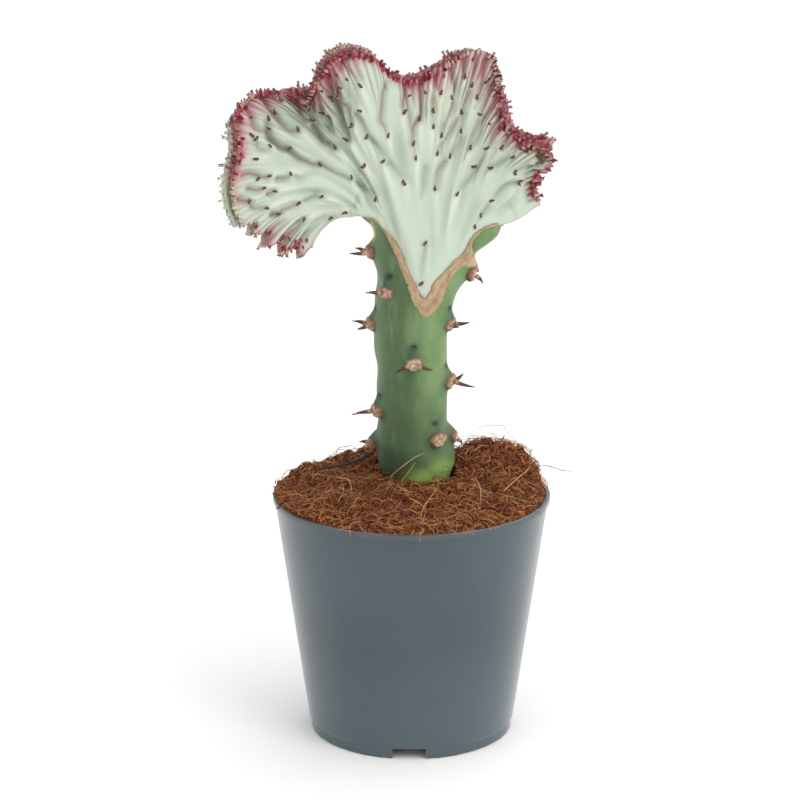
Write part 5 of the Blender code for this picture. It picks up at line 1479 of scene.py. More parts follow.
class Fan:
    """The fan's surface: u runs round its edge from lower left, w out along its rays."""

    samples = 8 * TOOTH_COUNT

    def __init__(self):
        curve = catmull_rom(np.array(EDGE)[:, :3], 16) * MM
        reached = run_length(curve)
        self.edge = evenly_spaced(curve, self.samples + 1)
        self.edge_u = reached[::16] / reached[-1]
        self.rays = catmull_rom(RAYS, 24) * MM
        self.curl = catmull_rom([(curl,) for curl in EDGE_CURL], 12) * MM
        self.rounded = {}
        self.frames = {}
        self.seam, _ = seam_lines(SEAM_SAMPLES)

    @staticmethod
    def column_values(table, u):
        """Each column of a table whose rows are evenly spaced round the edge, read at u."""
        return [np.interp(u * (len(table) - 1), np.arange(len(table)), column) for column in table.T]

    def edge_at(self, u, w):
        """The growing edge, rounded off more for rows further in."""
        if w not in self.rounded:
            self.rounded[w] = smoothed(self.edge, EDGE_SMOOTHING * (1 - w) * self.samples)
        return xyz(*self.column_values(self.rounded[w], u))

    def above_seam(self, x, z):
        """0 on the graft seam, growing to 1 a little above it."""
        left, right = self.seam[0], self.seam[-1]
        height = np.interp(x, self.seam[:, 0], self.seam[:, 1])
        height -= 2 * (np.maximum(0, left[0] - x) + np.maximum(0, x - right[0]))
        return smoothstep((z - height) / SEAM_BLEND)

    def middle(self, u, w):
        """The sheet halfway between the fan's two faces."""
        places = self.column_values(self.rays, u)
        foot, lift, turn = (xyz(x, 0, z) for x, z in zip(places[::2], places[1::2]))
        edge = self.edge_at(u, w)
        finger = np.sin(np.pi * FINGER_COUNT * u / FINGER_SPAN) ** 2 - 0.5
        finger *= 1 - smoothstep(u, 0.8 * FINGER_SPAN, FINGER_SPAN)
        edge = edge + unit(edge - turn) * (finger * FINGER_HEIGHT * w ** FINGER_SHARPNESS)[:, None]
        v = 1 - w
        sheet = v ** 3 * foot + 3 * w * v ** 2 * lift + 3 * w ** 2 * v * turn + w ** 3 * edge
        curl = self.column_values(self.curl, u)[0] * w ** CURL_SHARPNESS
        lean = edge[:, 1] * w ** LEAN_SHARPNESS - curl
        sheet[:, 1] = lean * self.above_seam(sheet[:, 0], sheet[:, 2])
        return sheet

    def directions(self, u, w):
        """Outward from the front face, and out along the sheet square to its edge."""
        if w not in self.frames:
            grid = np.linspace(0, 1, 2 * TOOTH_COUNT + 1)
            along = np.gradient(self.middle(grid, w), axis=0)
            out = self.middle(grid, min(1, w + 0.03)) - self.middle(grid, max(0, w - 0.06))
            front = unit(smoothed(unit(np.cross(along, out)), FACING_SMOOTHING))
            square = unit(smoothed(unit(np.cross(front, along)), FACING_SMOOTHING))
            self.frames[w] = (grid, front, square)
        grid, *fields = self.frames[w]
        return [unit(xyz(*(np.interp(u, grid, column) for column in field.T))) for field in fields]

    def half_thickness(self, u, w, sheet):
        """Half the fan's thickness, and how far it has taken over from the stem's shape."""
        thick = np.interp(w, *np.array(FAN_HALF_THICKNESS).T) * MM
        reach = np.interp(w, *np.array(SIDE_ROUNDING).T)
        from_side = np.clip(np.minimum(u, 1 - u) / reach, 0, 1)
        fan = thick * np.sqrt(1 - (1 - from_side) ** 2)
        stem = stem_half_depth(sheet[:, 0], sheet[:, 2])
        share = self.above_seam(sheet[:, 0], sheet[:, 2])
        thick = np.maximum(THINNEST_SHARE * fan, (1 - share) * stem + share * fan)
        return np.where((u > 0) & (u < 1), thick, 0), share

    def surface(self, u, w, side):
        """Points of the smooth face, without its relief; side is 1 in front and -1 behind."""
        sheet = self.middle(u, w)
        front, _ = self.directions(u, w)
        thick, share = self.half_thickness(u, w, sheet)
        return sheet + side * front * thick[:, None], front, share

    def rim(self, u):
        """The sheet's growing edge, its directions to the front and outwards, and half its thickness."""
        sheet = self.middle(u, 1.0)
        return (sheet, *self.directions(u, 1.0), self.half_thickness(u, 1.0, sheet)[0])

    def blush(self, u, column):
        """A column of the edge's table, read at u."""
        return np.interp(u, self.edge_u, np.array(EDGE)[:, column])

    def red(self, u, side):
        return self.blush(u, FRONT_RED if side > 0 else BACK_RED)

    def reddest(self, u):
        return np.maximum(self.red(u, 1), self.red(u, -1))


class Face:
    """A fine grid over one smooth face of the fan, to find places on it and the points there."""

    def __init__(self, fan, side):
        self.u = np.linspace(0, 1, 561)
        self.w = np.linspace(0.12, 0.985, 110)
        self.step = np.array([self.u[1], self.w[1] - self.w[0]])
        self.points = np.stack([fan.surface(self.u, w, side)[0] for w in self.w])

    def places_seen(self, pixels):
        """The u and w that the camera sees at each pixel."""
        seen = seen_at(self.points)
        places = []
        for pixel in np.asarray(pixels, dtype=float):
            distance = lengths(seen[:-1, :-1] - pixel)
            row, column = np.unravel_index(distance.argmin(), distance.shape)
            corner = seen[row, column]
            steps = np.column_stack([seen[row, column + 1] - corner, seen[row + 1, column] - corner])
            part = np.clip(np.linalg.lstsq(steps, pixel - corner, rcond=None)[0], -1, 1)
            places.append((self.u[column], self.w[row]) + part * self.step)
        return np.array(places)

    def spots_seen(self, table):
        """Middles, radii and strengths of round spots, from rows that start with their pixel and radius."""
        middles = self.at(self.places_seen([row[:2] for row in table])) if table else ()
        return [(middle, row[2] * MM, row[-1]) for middle, row in zip(middles, table)]

    def at(self, places):
        """Points of the face at rows of u and w, between those of the grid."""
        cell = (np.asarray(places, dtype=float) - (0, self.w[0])) / self.step
        cell = np.clip(cell, 0, (len(self.u) - 1.001, len(self.w) - 1.001))
        c, r = cell.astype(int).T
        across, up = (cell - cell.astype(int)).T[..., None]
        low = self.points[r, c] * (1 - across) + self.points[r, c + 1] * across
        high = self.points[r + 1, c] * (1 - across) + self.points[r + 1, c + 1] * across
        return low * (1 - up) + high * up


class Strands:
    """Lines over a face with a strength along each, in three sets so that neighbours don't cut each other off."""

    def __init__(self, lines):
        self.sets = []
        for first in range(3):
            points, strengths = [], []
            for line, strength in lines[first::3]:
                reached = run_length(line)
                wanted = np.linspace(0, reached[-1], max(2, int(reached[-1] / STRAND_STEP)))
                points += np.column_stack([np.interp(wanted, reached, column) for column in line.T]).tolist()
                strengths.append(np.interp(wanted, reached, strength))
            tree = KDTree(len(points))
            for number, point in enumerate(points):
                tree.insert(point, number)
            tree.balance()
            self.sets.append((tree, np.concatenate(strengths)))

    def near(self, points):
        """Each point's distance from the nearest line of each set, and how strong that line is there."""
        found = []
        for tree, strength in self.sets:
            number, distance = np.array([tree.find(point)[1:] for point in points]).T
            found.append((distance, strength[number.astype(int)]))
        return found


def felt(found, width):
    """How strongly lines are felt across a width, from what Strands.near found."""
    return np.max([strength * bell(distance, width) for distance, strength in found], axis=0)


def spine_places(fan, face, side):
    """Where the spine pairs stand on one face, as rows of u, w and size."""
    draw = random.Random(SEED + 6 + side)
    places = [(u, w, 1.0) for u, w in face.places_seen(SPINE_PAIRS_SEEN)] if side > 0 else []
    for row, w in enumerate(() if side > 0 else BACK_SPINE_ROWS):
        line = fan.middle(np.linspace(0.04, 0.96, 200), w)
        count = max(2, round(run_length(line)[-1] / BACK_SPINE_SPACING))
        for i in range(count):
            u = 0.04 + 0.92 * (i + 0.25 + 0.5 * (row % 2) + draw.uniform(-0.15, 0.15)) / count
            places.append((u, w + draw.uniform(-0.02, 0.02), 1.0))
    for row, (w, share) in enumerate(RIM_SPINE_ROWS):
        for rib in range(RIB_COUNT):
            ribbed = fan.blush(rib / RIB_COUNT, RIBBED) if side > 0 else 1
            if draw.random() < 0.5 * share * ribbed:
                u = crowded((rib + 0.5 * (row % 2)) / RIB_COUNT) + draw.uniform(-0.0015, 0.0015)
                places.append((min(0.985, max(0.015, u)), w + draw.uniform(-0.015, 0.015), RIM_SPINE_SCALE))
    return places


def linked_grooves(places):
    """Grooves by rule, as rows of u and w: each spine pair hangs from one further out, or from the rim."""
    taken, grooves = set(), []
    for number in np.argsort(-places[:, 1]):
        u, w = places[number]
        ahead = (places[:, 1] - w) * RAY_LENGTH
        aside = np.abs(places[:, 0] - u) * RAY_LENGTH * 3.6 * (0.4 + 0.6 * w)
        near = (ahead > LINK_SHORTEST) & (ahead < LINK_LONGEST) & (aside < 0.65 * ahead)
        free = [k for k in np.flatnonzero(near) if k not in taken]
        if free:
            best = min(free, key=lambda k: ahead[k] + 1.5 * aside[k])
            taken.add(best)
            end = places[best]
        elif (1 - w) * RAY_LENGTH < LINK_TO_RIM:
            rib = np.round(u * RIB_COUNT - 0.5) + 0.5
            end = np.array([crowded(rib / RIB_COUNT), 0.985])
        else:
            continue
        t = np.linspace(1, 0, 7)
        grooves.append(np.column_stack([u + (end[0] - u) * smoothstep(t), w + (end[1] - w) * t]))
    return grooves


def fan_strands(fan, face, side, places):
    """The grooves, their coloured lines and the ribs of one face."""
    spots = np.array(places)[:, :2]
    inner = spots[spots[:, 1] < RIM_ZONE]
    grooves, lines, ribs = [], [], []

    def add_groove(where, depth, rose):
        where = catmull_rom(where, 3)
        points = face.at(where)
        t = np.linspace(0, 1, len(points))
        strength = max(depth, depth ** 0.55) * (1 - 0.5 * t ** 2) * np.minimum(1, 0.35 + 6 * t)
        grooves.append((points, strength))
        lines.append((points, np.minimum(1, strength) * rose))

    if side > 0:
        for depth, rose, *pixels in GROOVES_SEEN:
            add_groove(face.places_seen(np.reshape(pixels, (-1, 2))), depth, rose)
        distance = np.min([distance for distance, _ in Strands(grooves).near(face.at(inner))], axis=0)
        inner = inner[distance > LINK_CLEARANCE]
    for groove in linked_grooves(inner):
        red = fan.red(groove[:1, 0], side)[0]
        add_groove(groove, LINK_DEPTHS[side < 0], 0.75 * red * smoothstep(groove[0, 1], 0.75, 0.95))
    for u, w in spots:
        length, strength = (1, 1.0) if w < RIM_ZONE else (0.5, 0.6)
        t = np.linspace(0, 1, 5)
        where = np.column_stack([np.full(5, u), w - RIB_LENGTH * length / RAY_LENGTH * t])
        ribs.append((face.at(where), strength * t[::-1] ** 1.3))
    return Strands(grooves), Strands(lines), Strands(ribs)


def fan_relief(even, w, surface, strands, ribbing, share):
    """Height of the ridges in one row, and masks of the painted highlight on its ridges, the painted shade in its
    valleys, its rose lines and the painted shade in its deep grooves.
    """
    grooves, lines, ribs = (kind.near(surface) for kind in strands)
    widths = (GROOVE_WIDTH, LINE_WIDTH, VALLEY_WIDTH, DEEP_WIDTH)
    groove, core, broad, narrow = (felt(grooves, width) for width in widths)
    rose, rib = felt(lines, LINE_WIDTH), felt(ribs, RIB_WIDTH)
    uneven = even + 0.0022 * np.sin(tau * 23 * even) + 0.0016 * np.sin(tau * 41 * even + 2)
    fine = np.abs(np.cos(pi * RIB_COUNT * uneven))
    start = 0.79 + 0.05 * np.sin(tau * 11 * even + 1) + 0.04 * np.sin(tau * 31 * even)
    ribbed = smoothstep((w - start) / 0.13) * ribbing
    height, fold_shade = 0, 0
    for count, tall, first, last, middle, reach, dark in FOLDS:
        wander = 0.8 * np.sin(tau * 0.31 * count * even + 3) + 0.7 * np.sin(7 * w + 9 * even)
        wave = np.cos(tau * count * even + wander) * (0.65 + 0.35 * np.sin(tau * 0.43 * count * even + 5 * w))
        shown = smoothstep(w, first, first + 0.14) * (1 - smoothstep(w, last - 0.14, last)) * bell(even - middle, reach)
        height = height + tall * MM * wave * shown
        fold_shade = np.maximum(fold_shade, -dark * wave * shown)
    height = height + 1.6 * MM * (fine - 0.62) * ribbed
    height = height + RIB_RISE * rib * (1 - 0.5 * np.minimum(1, groove)) - GROOVE_DEPTH * groove - VALLEY_DEPTH * broad
    # The valleys are painted in shade, more so in the grooves and the folds
    low = 0.42 * np.minimum(1.5, groove) + 0.2 * np.minimum(1, core) + 0.22 * np.minimum(1.2, broad)
    low = np.maximum(np.maximum(low, (1 - fine) ** 2 * ribbed), fold_shade)
    deep_groove_shade = np.clip(0.6 * (narrow - 0.5), 0, 0.55)
    # A painted highlight on the ridge tops
    high = np.maximum(rib * 0.9, fine ** 4 * ribbed * 0.9) * (1 - 0.7 * np.minimum(1, groove))
    share = np.minimum(1, 1.8 * share)
    return height * share, np.clip(low, 0, 1) * share, high * share, rose * share, deep_groove_shade * share


def fan_grid(fan):
    """Rows of points over the front, across the rim and down the back, with their masks."""
    even = np.linspace(0, 1, FAN_COLUMNS + 1)
    u = crowded(even)
    uneven = Ripples(SEED + 20, 14, 3, 9, 3)
    cracks = Ripples(SEED + 21, 20, 1.2, 3, 3)
    seam_heights = seam_middle()
    right_x, _, right_z = on_plane(LOWER_RIGHT_SEEN, 0).T

    def held_up(surface):
        """Pull in and raise what would hang below the seam or the fan's lower right edge."""
        x = surface[:, 0]
        lowest = np.where(x > right_x[0], np.interp(x, right_x, right_z) + 0.6 * MM, seam_heights(x))
        below = (lowest - surface[:, 2]) * smoothstep(x, -22.5 * MM, -20.6 * MM)
        surface[:, 1] *= 1 - 0.5 * smoothstep(below, -0.3 * MM, 1.5 * MM)
        surface[:, 2] += np.maximum(0, below - 0.6 * MM)
        return surface

    def face_rows(side, counts):
        """Rows of one face from its foot to the rim, as pairs of points and masks."""
        face = Face(fan, side)
        strands = fan_strands(fan, face, side, spine_places(fan, face, side))
        scars, hollows = (face.spots_seen(table if side > 0 else ()) for table in (SCARS_SEEN, HOLLOWS_SEEN))
        ribbing = fan.blush(u, RIBBED) if side > 0 else 0.8
        inside = smoothstep(np.minimum(u, 1 - u), 0.006, 0.04)
        red, width = fan.red(u, side), fan.blush(u, BLUSH_WIDTH) * MM
        comb = (0.9 + 0.75 * (fan.blush(u, COMB_REACH) if side > 0 else 1)) * MM
        rows = []
        stretches = zip(ROW_LIMITS, ROW_LIMITS[1:], counts)
        for w in np.unique(np.concatenate([np.linspace(*stretch) for stretch in stretches])).tolist():
            surface, front, share = fan.surface(u, w, side)
            height, low, high, rose, deep_groove_shade = fan_relief(even, w, surface, strands, ribbing, share * inside)
            cracked = cracks(*surface.T)
            hollow, scar = 0 * u, 0 * u
            # Painted shade in the seen hollows, which are also sunk a little
            for middle, radius, dark in hollows:
                hollow = np.maximum(hollow, dark * bell(lengths(surface - middle), radius))
            for middle, radius, _ in scars:
                distance = lengths(surface - middle) + 0.5 * MM * cracked
                scar = np.maximum(scar, 1 - smoothstep(distance, 0.5 * radius, radius))
            height = height - 0.4 * MM * hollow + 0.5 * MM * scar * cracked
            surface = held_up(surface + side * front * height[:, None])
            inward = (1 - w) * RAY_LENGTH
            flush = red * np.exp(-(inward / (width * 1.1)) ** 1.5)
            blotch = np.clip(0.8 + 0.35 * uneven(*surface.T), 0.25, 1.1)
            # hollow is painted shade in the hollows and deep grooves, ridge a painted highlight, valley painted shade,
            # mauve the valley shade near the edge
            rows.append((surface, {
                "hollow": np.maximum(hollow, deep_groove_shade),
                "ridge": high * 0.8 * (1 - 0.35 * flush),
                "valley": np.minimum(1, low * 1.1),
                "rose": rose * 0.9,
                "blush": 0.75 * flush * blotch * (0.3 + 0.7 * (1 - high)),
                "mauve": np.clip(low * 1.1, 0, 1) * np.clip(1.8 * flush, 0, 1),
                "rim": red * np.exp(-(inward / comb) ** 2),
                "scar": scar,
            }))
        return rows

    def rim_rows():
        """Rows across the sunken rim, from the front comb to the back one."""
        sheet, front, square, thick = fan.rim(u)
        dead, zero = dead_stretch(u), 0 * u
        fine = np.abs(np.cos(pi * RIB_COUNT * even))
        rows = []
        for t in RIM_ROWS:
            dip = (0.5 - 1.7 * (1 - abs(t) ** 1.6)) * MM * smoothstep(np.minimum(u, 1 - u), 0.0, 0.02)
            dip = dip + 0.7 * MM * (fine - 0.5) * abs(t)
            share = 0.5 + 0.5 * t
            redness = (fan.blush(u, FRONT_RED) * share + fan.blush(u, BACK_RED) * (1 - share)) * (1 - dead)
            line = np.maximum(redness, 0.9 * fan.reddest(u) * (abs(t) < 0.3) * (1 - dead))
            striped = 1 - 0.5 * fine ** 2 * smoothstep(abs(t), 0.2, 0.6)
            rows.append((held_up(sheet + square * dip[:, None] + front * (t * thick)[:, None]), {
                "hollow": zero, "ridge": 0.7 * dead, "valley": 0.4 * dead, "rose": zero, "blush": redness * 0.6,
                "mauve": redness * 0.5 * striped, "rim": line * striped, "scar": 0.85 * dead * (abs(t - 0.2) < 0.5),
            }))
        return rows

    rows = face_rows(1, FRONT_LEVELS) + rim_rows() + face_rows(-1, BACK_LEVELS)[::-1]
    attributes = {label: np.concatenate([masks[label] for _, masks in rows]) for label in rows[0][1]}
    return np.array([points for points, _ in rows]), attributes


def dead_stretch(u):
    """1 where the growing line has dried up, at the lower left, and 0 elsewhere."""
    start, end = DEAD_LINE
    return smoothstep(u, start, start + 0.012) * (1 - smoothstep(u, end - 0.012, end))


def make_fan_skin(settings):
    """The fan's ridged skin, one closed sheet with a front, a sunken rim and a back."""
    rows, attributes = fan_grid(Fan())
    faces = grid_faces(len(rows), FAN_COLUMNS + 1, wrap_columns=False, wrap_rows=True)
    return built("crest_skin", (rows, faces, attributes), fan_finish(settings), ("crest",))


def tooth_shape(seed):
    """One comb tooth 1 unit long: a blunt fleshy finger with two small dry nubs at its tip."""
    draw = np.random.default_rng(seed)
    t = np.array([-0.3, 0.0, 0.3, 0.6, 0.82, 0.92])
    lean = draw.uniform(-0.25, 0.25)
    path = xyz(lean * t ** 2, 0.15 * t ** 2, t)
    rod, faces = tube(path, (0.2, 0.25, 0.23, 0.19, 0.13, 0.05), 6)
    parts = [(rod, faces, {"reach": np.repeat(np.clip(t / 0.92, 0, 1), 6)})]
    for side in (-1, 1):
        start = np.array([lean * 0.6 + side * 0.06, 0.1, 0.74])
        heading = unit(np.array([side * draw.uniform(0.2, 0.8), draw.uniform(-0.2, 0.4), 1.0]))
        ends = [start, start + heading * 0.14, start + heading * draw.uniform(0.2, 0.34)]
        nub, nub_faces = tube(ends, (0.11, 0.09, 0.03), 4)
        parts.append((nub, nub_faces, {"reach": np.repeat((1.1, 1.4, 1.6), 4)}))
    return mesh_from("tooth", *joined(parts))


# Rows of teeth: place across the rim, outward tilt, length against the largest, and how red
COMB_ROWS = (
    (0.97, 0.45, 0.95, 1.0), (-0.97, -0.45, 0.8, 0.9), (0.7, 0.3, 0.8, 1.1), (-0.65, -0.2, 0.75, 1.1),
    (0.4, 0.15, 0.65, 1.2), (-0.35, -0.1, 0.6, 1.2), (0.1, 0.0, 0.55, 1.2), (-0.1, 0.0, 0.5, 1.2),
)
# Rows of young teeth on the front: how far in from the rim, in mm
BEARD_ROWS = (0.5, 1.4, 2.3, 3.2)
BEARD_COUNT = 100


def tooth_rows(fan, settings):
    """Both combs along the rim, with rows of younger teeth between them."""
    draw = random.Random(SEED + 9)
    rows = []
    for row, (t, tilt, length, redness) in enumerate(COMB_ROWS):
        u = crowded((np.arange(TOOTH_COUNT) + 0.5 * (row // 2 % 2) + 0.25) / TOOTH_COUNT)
        u = np.clip(u + np.array([draw.uniform(-0.0016, 0.0016) for _ in u]), 0.012, 0.988)
        sheet, front, square, thick = fan.rim(u)
        along = np.cross(square, front)
        line_red = np.maximum(fan.red(u, t), 0.9 * fan.reddest(u) * (abs(t) < 0.5))
        tuft = 0.85 + 0.35 * np.sin(tau * 31 * u + 2 * np.sin(tau * 7 * u + t))
        dead = dead_stretch(u)
        short = tuft * np.where(u < FINGER_SPAN, 0.75, 1.0) * (1 - 0.1 * dead)
        for i in np.flatnonzero(dead < (2 if abs(t) > 0.6 else 0.5)):
            base = sheet[i] + front[i] * t * thick[i] - square[i] * (0.8 + 0.6 * (1 - abs(t))) * MM
            out = square[i] + front[i] * (tilt + draw.uniform(-0.25, 0.25)) + along[i] * draw.uniform(-0.3, 0.3)
            size = settings.tooth * length * short[i] * draw.choice((0.35, 0.5, 0.7, 0.85, 1.0, 1.2))
            wide = size ** 0.5 * (settings.tooth * length) ** 0.5 * draw.uniform(0.9, 1.35)
            red_now = line_red[i] * redness * draw.uniform(0.7, 1.1) * (1 - 0.45 * dead[i])
            rows.append((base, unit(out), along[i], (wide, wide, size), draw.randrange(TOOTH_SHAPES), red_now))
    # The comb's younger teeth, on the face itself
    for inward in BEARD_ROWS:
        w = 1 - inward * MM / RAY_LENGTH
        u = np.clip([(i + draw.uniform(-0.4, 0.4)) / BEARD_COUNT for i in range(BEARD_COUNT)], 0.02, 0.98)
        surface, front, _ = fan.surface(u, w, 1)
        _, square = fan.directions(u, w)
        along = np.cross(square, front)
        reach = (fan.blush(u, COMB_REACH) - inward) * (np.sin(tau * 27 * u + 3 * np.sin(tau * 5 * u)) > -0.55)
        for i in np.flatnonzero((reach > -0.4) & (reach != 0)):
            out = front[i] * draw.uniform(0.5, 0.9) + square[i] * draw.uniform(0.5, 1.0)
            out += along[i] * draw.uniform(-0.4, 0.4)
            size = settings.tooth * draw.uniform(0.4, 0.95)
            wide = settings.tooth * draw.uniform(0.55, 1.1)
            base = surface[i] - front[i] * 0.2 * MM
            rows.append((base, unit(out), along[i], (wide, wide, size), draw.randrange(TOOTH_SHAPES), 1.2))
    return rows


def make_teeth(settings):
    """The comb's teeth, stood along the rim by a Geometry Nodes tree."""
    rows = tooth_rows(Fan(), settings)
    meshes = [tooth_shape(seed) for seed in range(TOOTH_SHAPES)]
    return spread(
        "crest_teeth", point_cloud(rows), standing_tree(), meshes, tooth_flesh(settings), "fan_skin", Size=1.0
    )


def spine_pair_shape(seed):
    """Two short horns that spread from a small cushion, about 1 unit tall."""
    draw = np.random.default_rng(seed)
    cushion, faces = ball(2, 1)
    parts = [(cushion * (0.55, 0.4, 0.32), faces, {"reach": np.zeros(len(cushion))})]
    for side in (-1, 1):
        t = np.linspace(0, 1, 4)
        heading = unit(np.array([side * draw.uniform(0.45, 0.7), draw.uniform(-0.1, 0.2), 1.0]))
        path = np.array([side * 0.22, 0, 0]) + heading * t[:, None] * draw.uniform(0.8, 1.1)
        rod, rod_faces = tube(path, 0.31 * (1 - t) ** 0.6 + 0.04, 5)
        parts.append((rod, rod_faces, {"reach": np.repeat(t, 5)}))
    return mesh_from("spine_pair", *joined(parts))


def make_fan_spines(settings):
    """Small spine pairs on both faces of the fan, stood there by a Geometry Nodes tree."""
    fan = Fan()
    draw = random.Random(SEED + 12)
    skin = bpy.data.objects["crest_skin"]
    rows = []
    for side in (1, -1):
        for u, w, scale in spine_places(fan, Face(fan, side), side):
            at = np.array([u])
            (base, *_), _, (share, *_) = fan.surface(at, w, side)
            if share < 0.1 or not 0 < u < 1:
                continue
            (front, *_), (square, *_) = fan.directions(at, w)
            out = unit(side * front * 0.8 + square * 0.6)
            size = scale * draw.uniform(0.85, 1.2) * 1.5 * MM
            _, spot, _, _ = skin.closest_point_on_mesh(Vector(to_frame(base + side * front * 3 * MM)))
            raised = (np.array(spot) - to_frame(base)) @ front
            lift = base + front * (raised + side * 0.1 * MM)
            turn = draw.uniform(0.6, 2.5)
            aside = np.cross(square, front) * cos(turn) + square * sin(turn)
            out = unit(out + 0.25 * aside * draw.uniform(-1, 1))
            rows.append((lift, out, aside, (size, size, size), draw.randrange(PAIR_SHAPES), 0))
    meshes = [spine_pair_shape(seed) for seed in range(PAIR_SHAPES)]
    return spread(
        "crest_spines", point_cloud(rows), standing_tree(), meshes, young_horn(), "fan_skin", Size=settings.spine
    )


# ---- stage ----


def aimed(obj, place, aim):
    """Move an object to its place and point it at its aim."""
    obj.location = place
    obj.rotation_euler = (Vector(aim) - Vector(place)).to_track_quat("-Z", "Y").to_euler()
    return obj


def make_stage(settings):
    """A pale floor, soft studio light and the camera of the photo."""
    scene = bpy.context.scene
    scene.view_settings.view_transform = "Standard"
    scene.view_settings.look = "None"
    corners = [(x * FLOOR_REACH, y * FLOOR_REACH, -0.02 * MM) for x, y in ((-1, -1), (1, -1), (1, 1), (-1, 1))]
    floor = new_object("floor", mesh_from("floor", corners, [[0, 1, 2, 3]]))
    # Matt studio paper: a pale even ground with almost no gloss
    material, tree, shader = new_material("Pale studio paper", 0.9, Specular_IOR_Level=0.1)
    shader.inputs["Base Color"].default_value = settings.floor
    floor.data.materials.append(material)

    # A little more light comes from the right and the front; on level ground that evens out
    world = bpy.data.worlds.new("Even white light")
    world.use_nodes = True
    tree = world.node_tree
    background = tree.nodes["Background"]
    background.inputs["Color"].default_value = (1, 1, 1, 1)
    way = add_node(tree, "ShaderNodeTexCoord").outputs["Generated"]
    toward = add_node(tree, "ShaderNodeVectorMath", {0: way, 1: settings.side}, operation="DOT_PRODUCT")
    inputs = {0: toward.outputs["Value"], 1: settings.sky, 2: settings.sky}
    strength = add_node(tree, "ShaderNodeMath", inputs, operation="MULTIPLY_ADD")
    tree.links.new(strength.outputs[0], background.inputs["Strength"])
    scene.world = world

    for name, place, width, height, power, colour in (
        ("key_lamp", (0.75, -0.85, 0.95), 0.6, 0.8, settings.key, "#FFFBF4"),
        ("fill_lamp", (-0.95, -0.6, 0.7), 0.5, 0.9, settings.fill, "#F1F6FF"),
        ("rear_lamp", (0.2, 0.95, 0.9), 0.8, 0.5, settings.fill, "#FFFFFF"),
    ):
        lamp = bpy.data.lights.new(name, "AREA")
        lamp.shape = "RECTANGLE"
        lamp.size, lamp.size_y = width, height
        lamp.energy, lamp.color = power, srgb(colour)[:3]
        aimed(new_object(name, lamp), place, (POT_AXIS_X, 0, LAMP_AIM_HEIGHT))

    camera = bpy.data.cameras.new("camera")
    camera.sensor_width = SENSOR_WIDTH
    camera.lens = SENSOR_WIDTH * CAMERA_FOCUS / FRAME_SIZE
    camera.shift_x, camera.shift_y = -CAMERA_SHIFT / FRAME_SIZE, CAMERA_SHIFT / FRAME_SIZE
    camera.clip_end = 50
    place, aim = to_frame(np.array((CAMERA_PLACE, CAMERA_AIM)) * MM)
    scene.camera = aimed(new_object("camera", camera), place, aim)


class PieceOperator:
    """What every operator here shares"""
    bl_options = {"REGISTER", "UNDO"}


class CACTUS_OT_pot(PieceOperator, bpy.types.Operator):
    """Build the nursery pot with its lip, foot slots and drain holes"""
    bl_idname = "cactus.pot"
    bl_label = "Nursery pot"

    def execute(self, context):
        make_pot(context.scene.cactus_pot)
        return {"FINISHED"}


class CACTUS_OT_soil(PieceOperator, bpy.types.Operator):
    """Build the bed of coir potting mix"""
    bl_idname = "cactus.soil"
    bl_label = "Coir bed"

    def execute(self, context):
        make_soil(context.scene.cactus_soil)
        return {"FINISHED"}


class CACTUS_OT_crumbs(PieceOperator, bpy.types.Operator):
    """Strew crumbs over the bed"""
    bl_idname = "cactus.crumbs"
    bl_label = "Coir crumbs"

    def execute(self, context):
        make_crumbs(context.scene.cactus_soil)
        return {"FINISHED"}


class CACTUS_OT_fibres(PieceOperator, bpy.types.Operator):
    """Strew coconut fibres over the bed and lay the loose strands"""
    bl_idname = "cactus.fibres"
    bl_label = "Coconut fibres"

    def execute(self, context):
        make_fibres(context.scene.cactus_soil)
        make_strands(context.scene.cactus_soil)
        return {"FINISHED"}


class CACTUS_OT_stem(PieceOperator, bpy.types.Operator):
    """Build the green stem with its swellings and cleft top"""
    bl_idname = "cactus.stem"
    bl_label = "Stem skin"

    def execute(self, context):
        make_stem(context.scene.cactus_stem)
        return {"FINISHED"}


class CACTUS_OT_stem_spines(PieceOperator, bpy.types.Operator):
    """Stand the shields and their spine pairs on the stem"""
    bl_idname = "cactus.stem_spines"
    bl_label = "Stem spines"

    def execute(self, context):
        make_stem_spines(context.scene.cactus_stem)
        return {"FINISHED"}


class CACTUS_OT_callus(PieceOperator, bpy.types.Operator):
    """Build the corky seam of the graft"""
    bl_idname = "cactus.callus"
    bl_label = "Graft callus"

    def execute(self, context):
        make_callus()
        return {"FINISHED"}


class CACTUS_OT_beads(PieceOperator, bpy.types.Operator):
    """Leave drops of water at the foot of the stem"""
    bl_idname = "cactus.beads"
    bl_label = "Water beads"

    def execute(self, context):
        make_beads()
        return {"FINISHED"}


class CACTUS_OT_fan(PieceOperator, bpy.types.Operator):
    """Build the ridged skin of the fan"""
    bl_idname = "cactus.fan"
    bl_label = "Fan skin"

    def execute(self, context):
        make_fan_skin(context.scene.cactus_fan)
        return {"FINISHED"}


class CACTUS_OT_teeth(PieceOperator, bpy.types.Operator):
    """Stand the comb's teeth along the rim of the fan"""
    bl_idname = "cactus.teeth"
    bl_label = "Fan teeth"

    def execute(self, context):
        make_teeth(context.scene.cactus_fan)
        return {"FINISHED"}


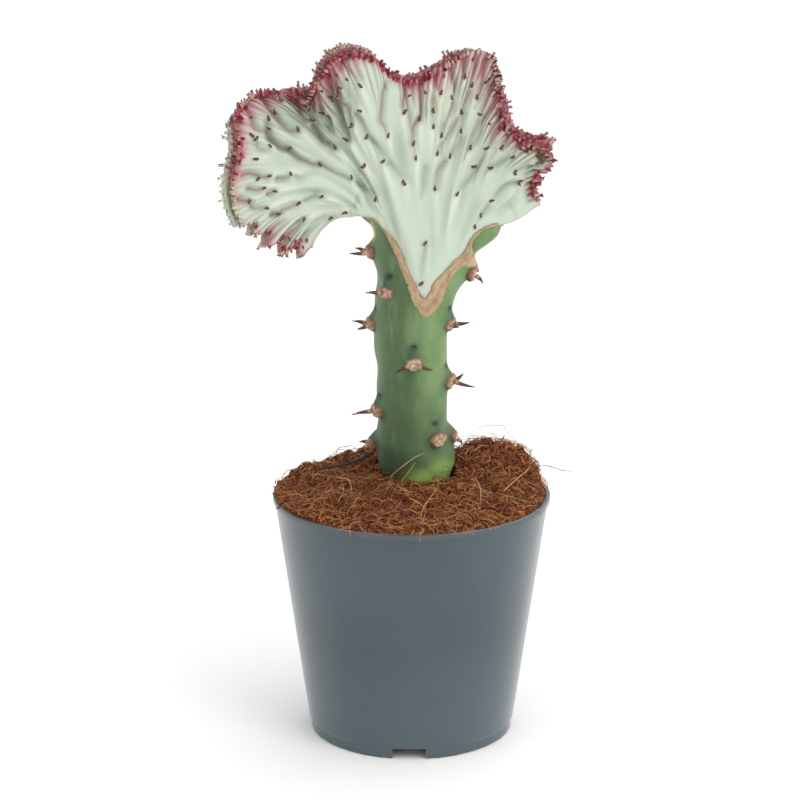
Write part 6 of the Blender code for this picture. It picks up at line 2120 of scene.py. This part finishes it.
class CACTUS_OT_fan_spines(PieceOperator, bpy.types.Operator):
    """Stand the small spine pairs on both faces of the fan"""
    bl_idname = "cactus.fan_spines"
    bl_label = "Fan spines"

    def execute(self, context):
        make_fan_spines(context.scene.cactus_fan)
        return {"FINISHED"}


class CACTUS_OT_stage(PieceOperator, bpy.types.Operator):
    """Set the floor, the lamps and the camera"""
    bl_idname = "cactus.stage"
    bl_label = "Studio stage"

    def execute(self, context):
        make_stage(context.scene.cactus_stage)
        return {"FINISHED"}


SETTINGS = {
    "cactus_pot": PotSettings,
    "cactus_soil": SoilSettings,
    "cactus_stem": StemSettings,
    "cactus_fan": FanSettings,
    "cactus_stage": StageSettings,
}
OPERATORS = (
    CACTUS_OT_stage, CACTUS_OT_pot, CACTUS_OT_soil, CACTUS_OT_crumbs, CACTUS_OT_fibres, CACTUS_OT_stem,
    CACTUS_OT_stem_spines, CACTUS_OT_callus, CACTUS_OT_beads, CACTUS_OT_fan, CACTUS_OT_teeth,
    CACTUS_OT_fan_spines,
)


class CACTUS_PT_pieces(bpy.types.Panel):
    """Lists every piece with its settings"""
    bl_idname = "CACTUS_PT_pieces"
    bl_label = "Potted coral cactus"
    bl_space_type = "VIEW_3D"
    bl_region_type = "UI"
    bl_category = "Cactus"

    def draw(self, context):
        layout = self.layout
        for operator in OPERATORS:
            layout.operator(operator.bl_idname)
        for name, group in SETTINGS.items():
            box = layout.box()
            for key in group.__annotations__:
                box.prop(getattr(context.scene, name), key)


def register():
    for cls in (*SETTINGS.values(), *OPERATORS, CACTUS_PT_pieces):
        bpy.utils.register_class(cls)
    for name, group in SETTINGS.items():
        setattr(bpy.types.Scene, name, PointerProperty(type=group))


def unregister():
    for name in SETTINGS:
        delattr(bpy.types.Scene, name)
    for cls in reversed((*SETTINGS.values(), *OPERATORS, CACTUS_PT_pieces)):
        bpy.utils.unregister_class(cls)


def main():
    register()
    for operator in OPERATORS:
        group, name = operator.bl_idname.split(".")
        getattr(getattr(bpy.ops, group), name)()


if __name__ == "__main__":
    main()
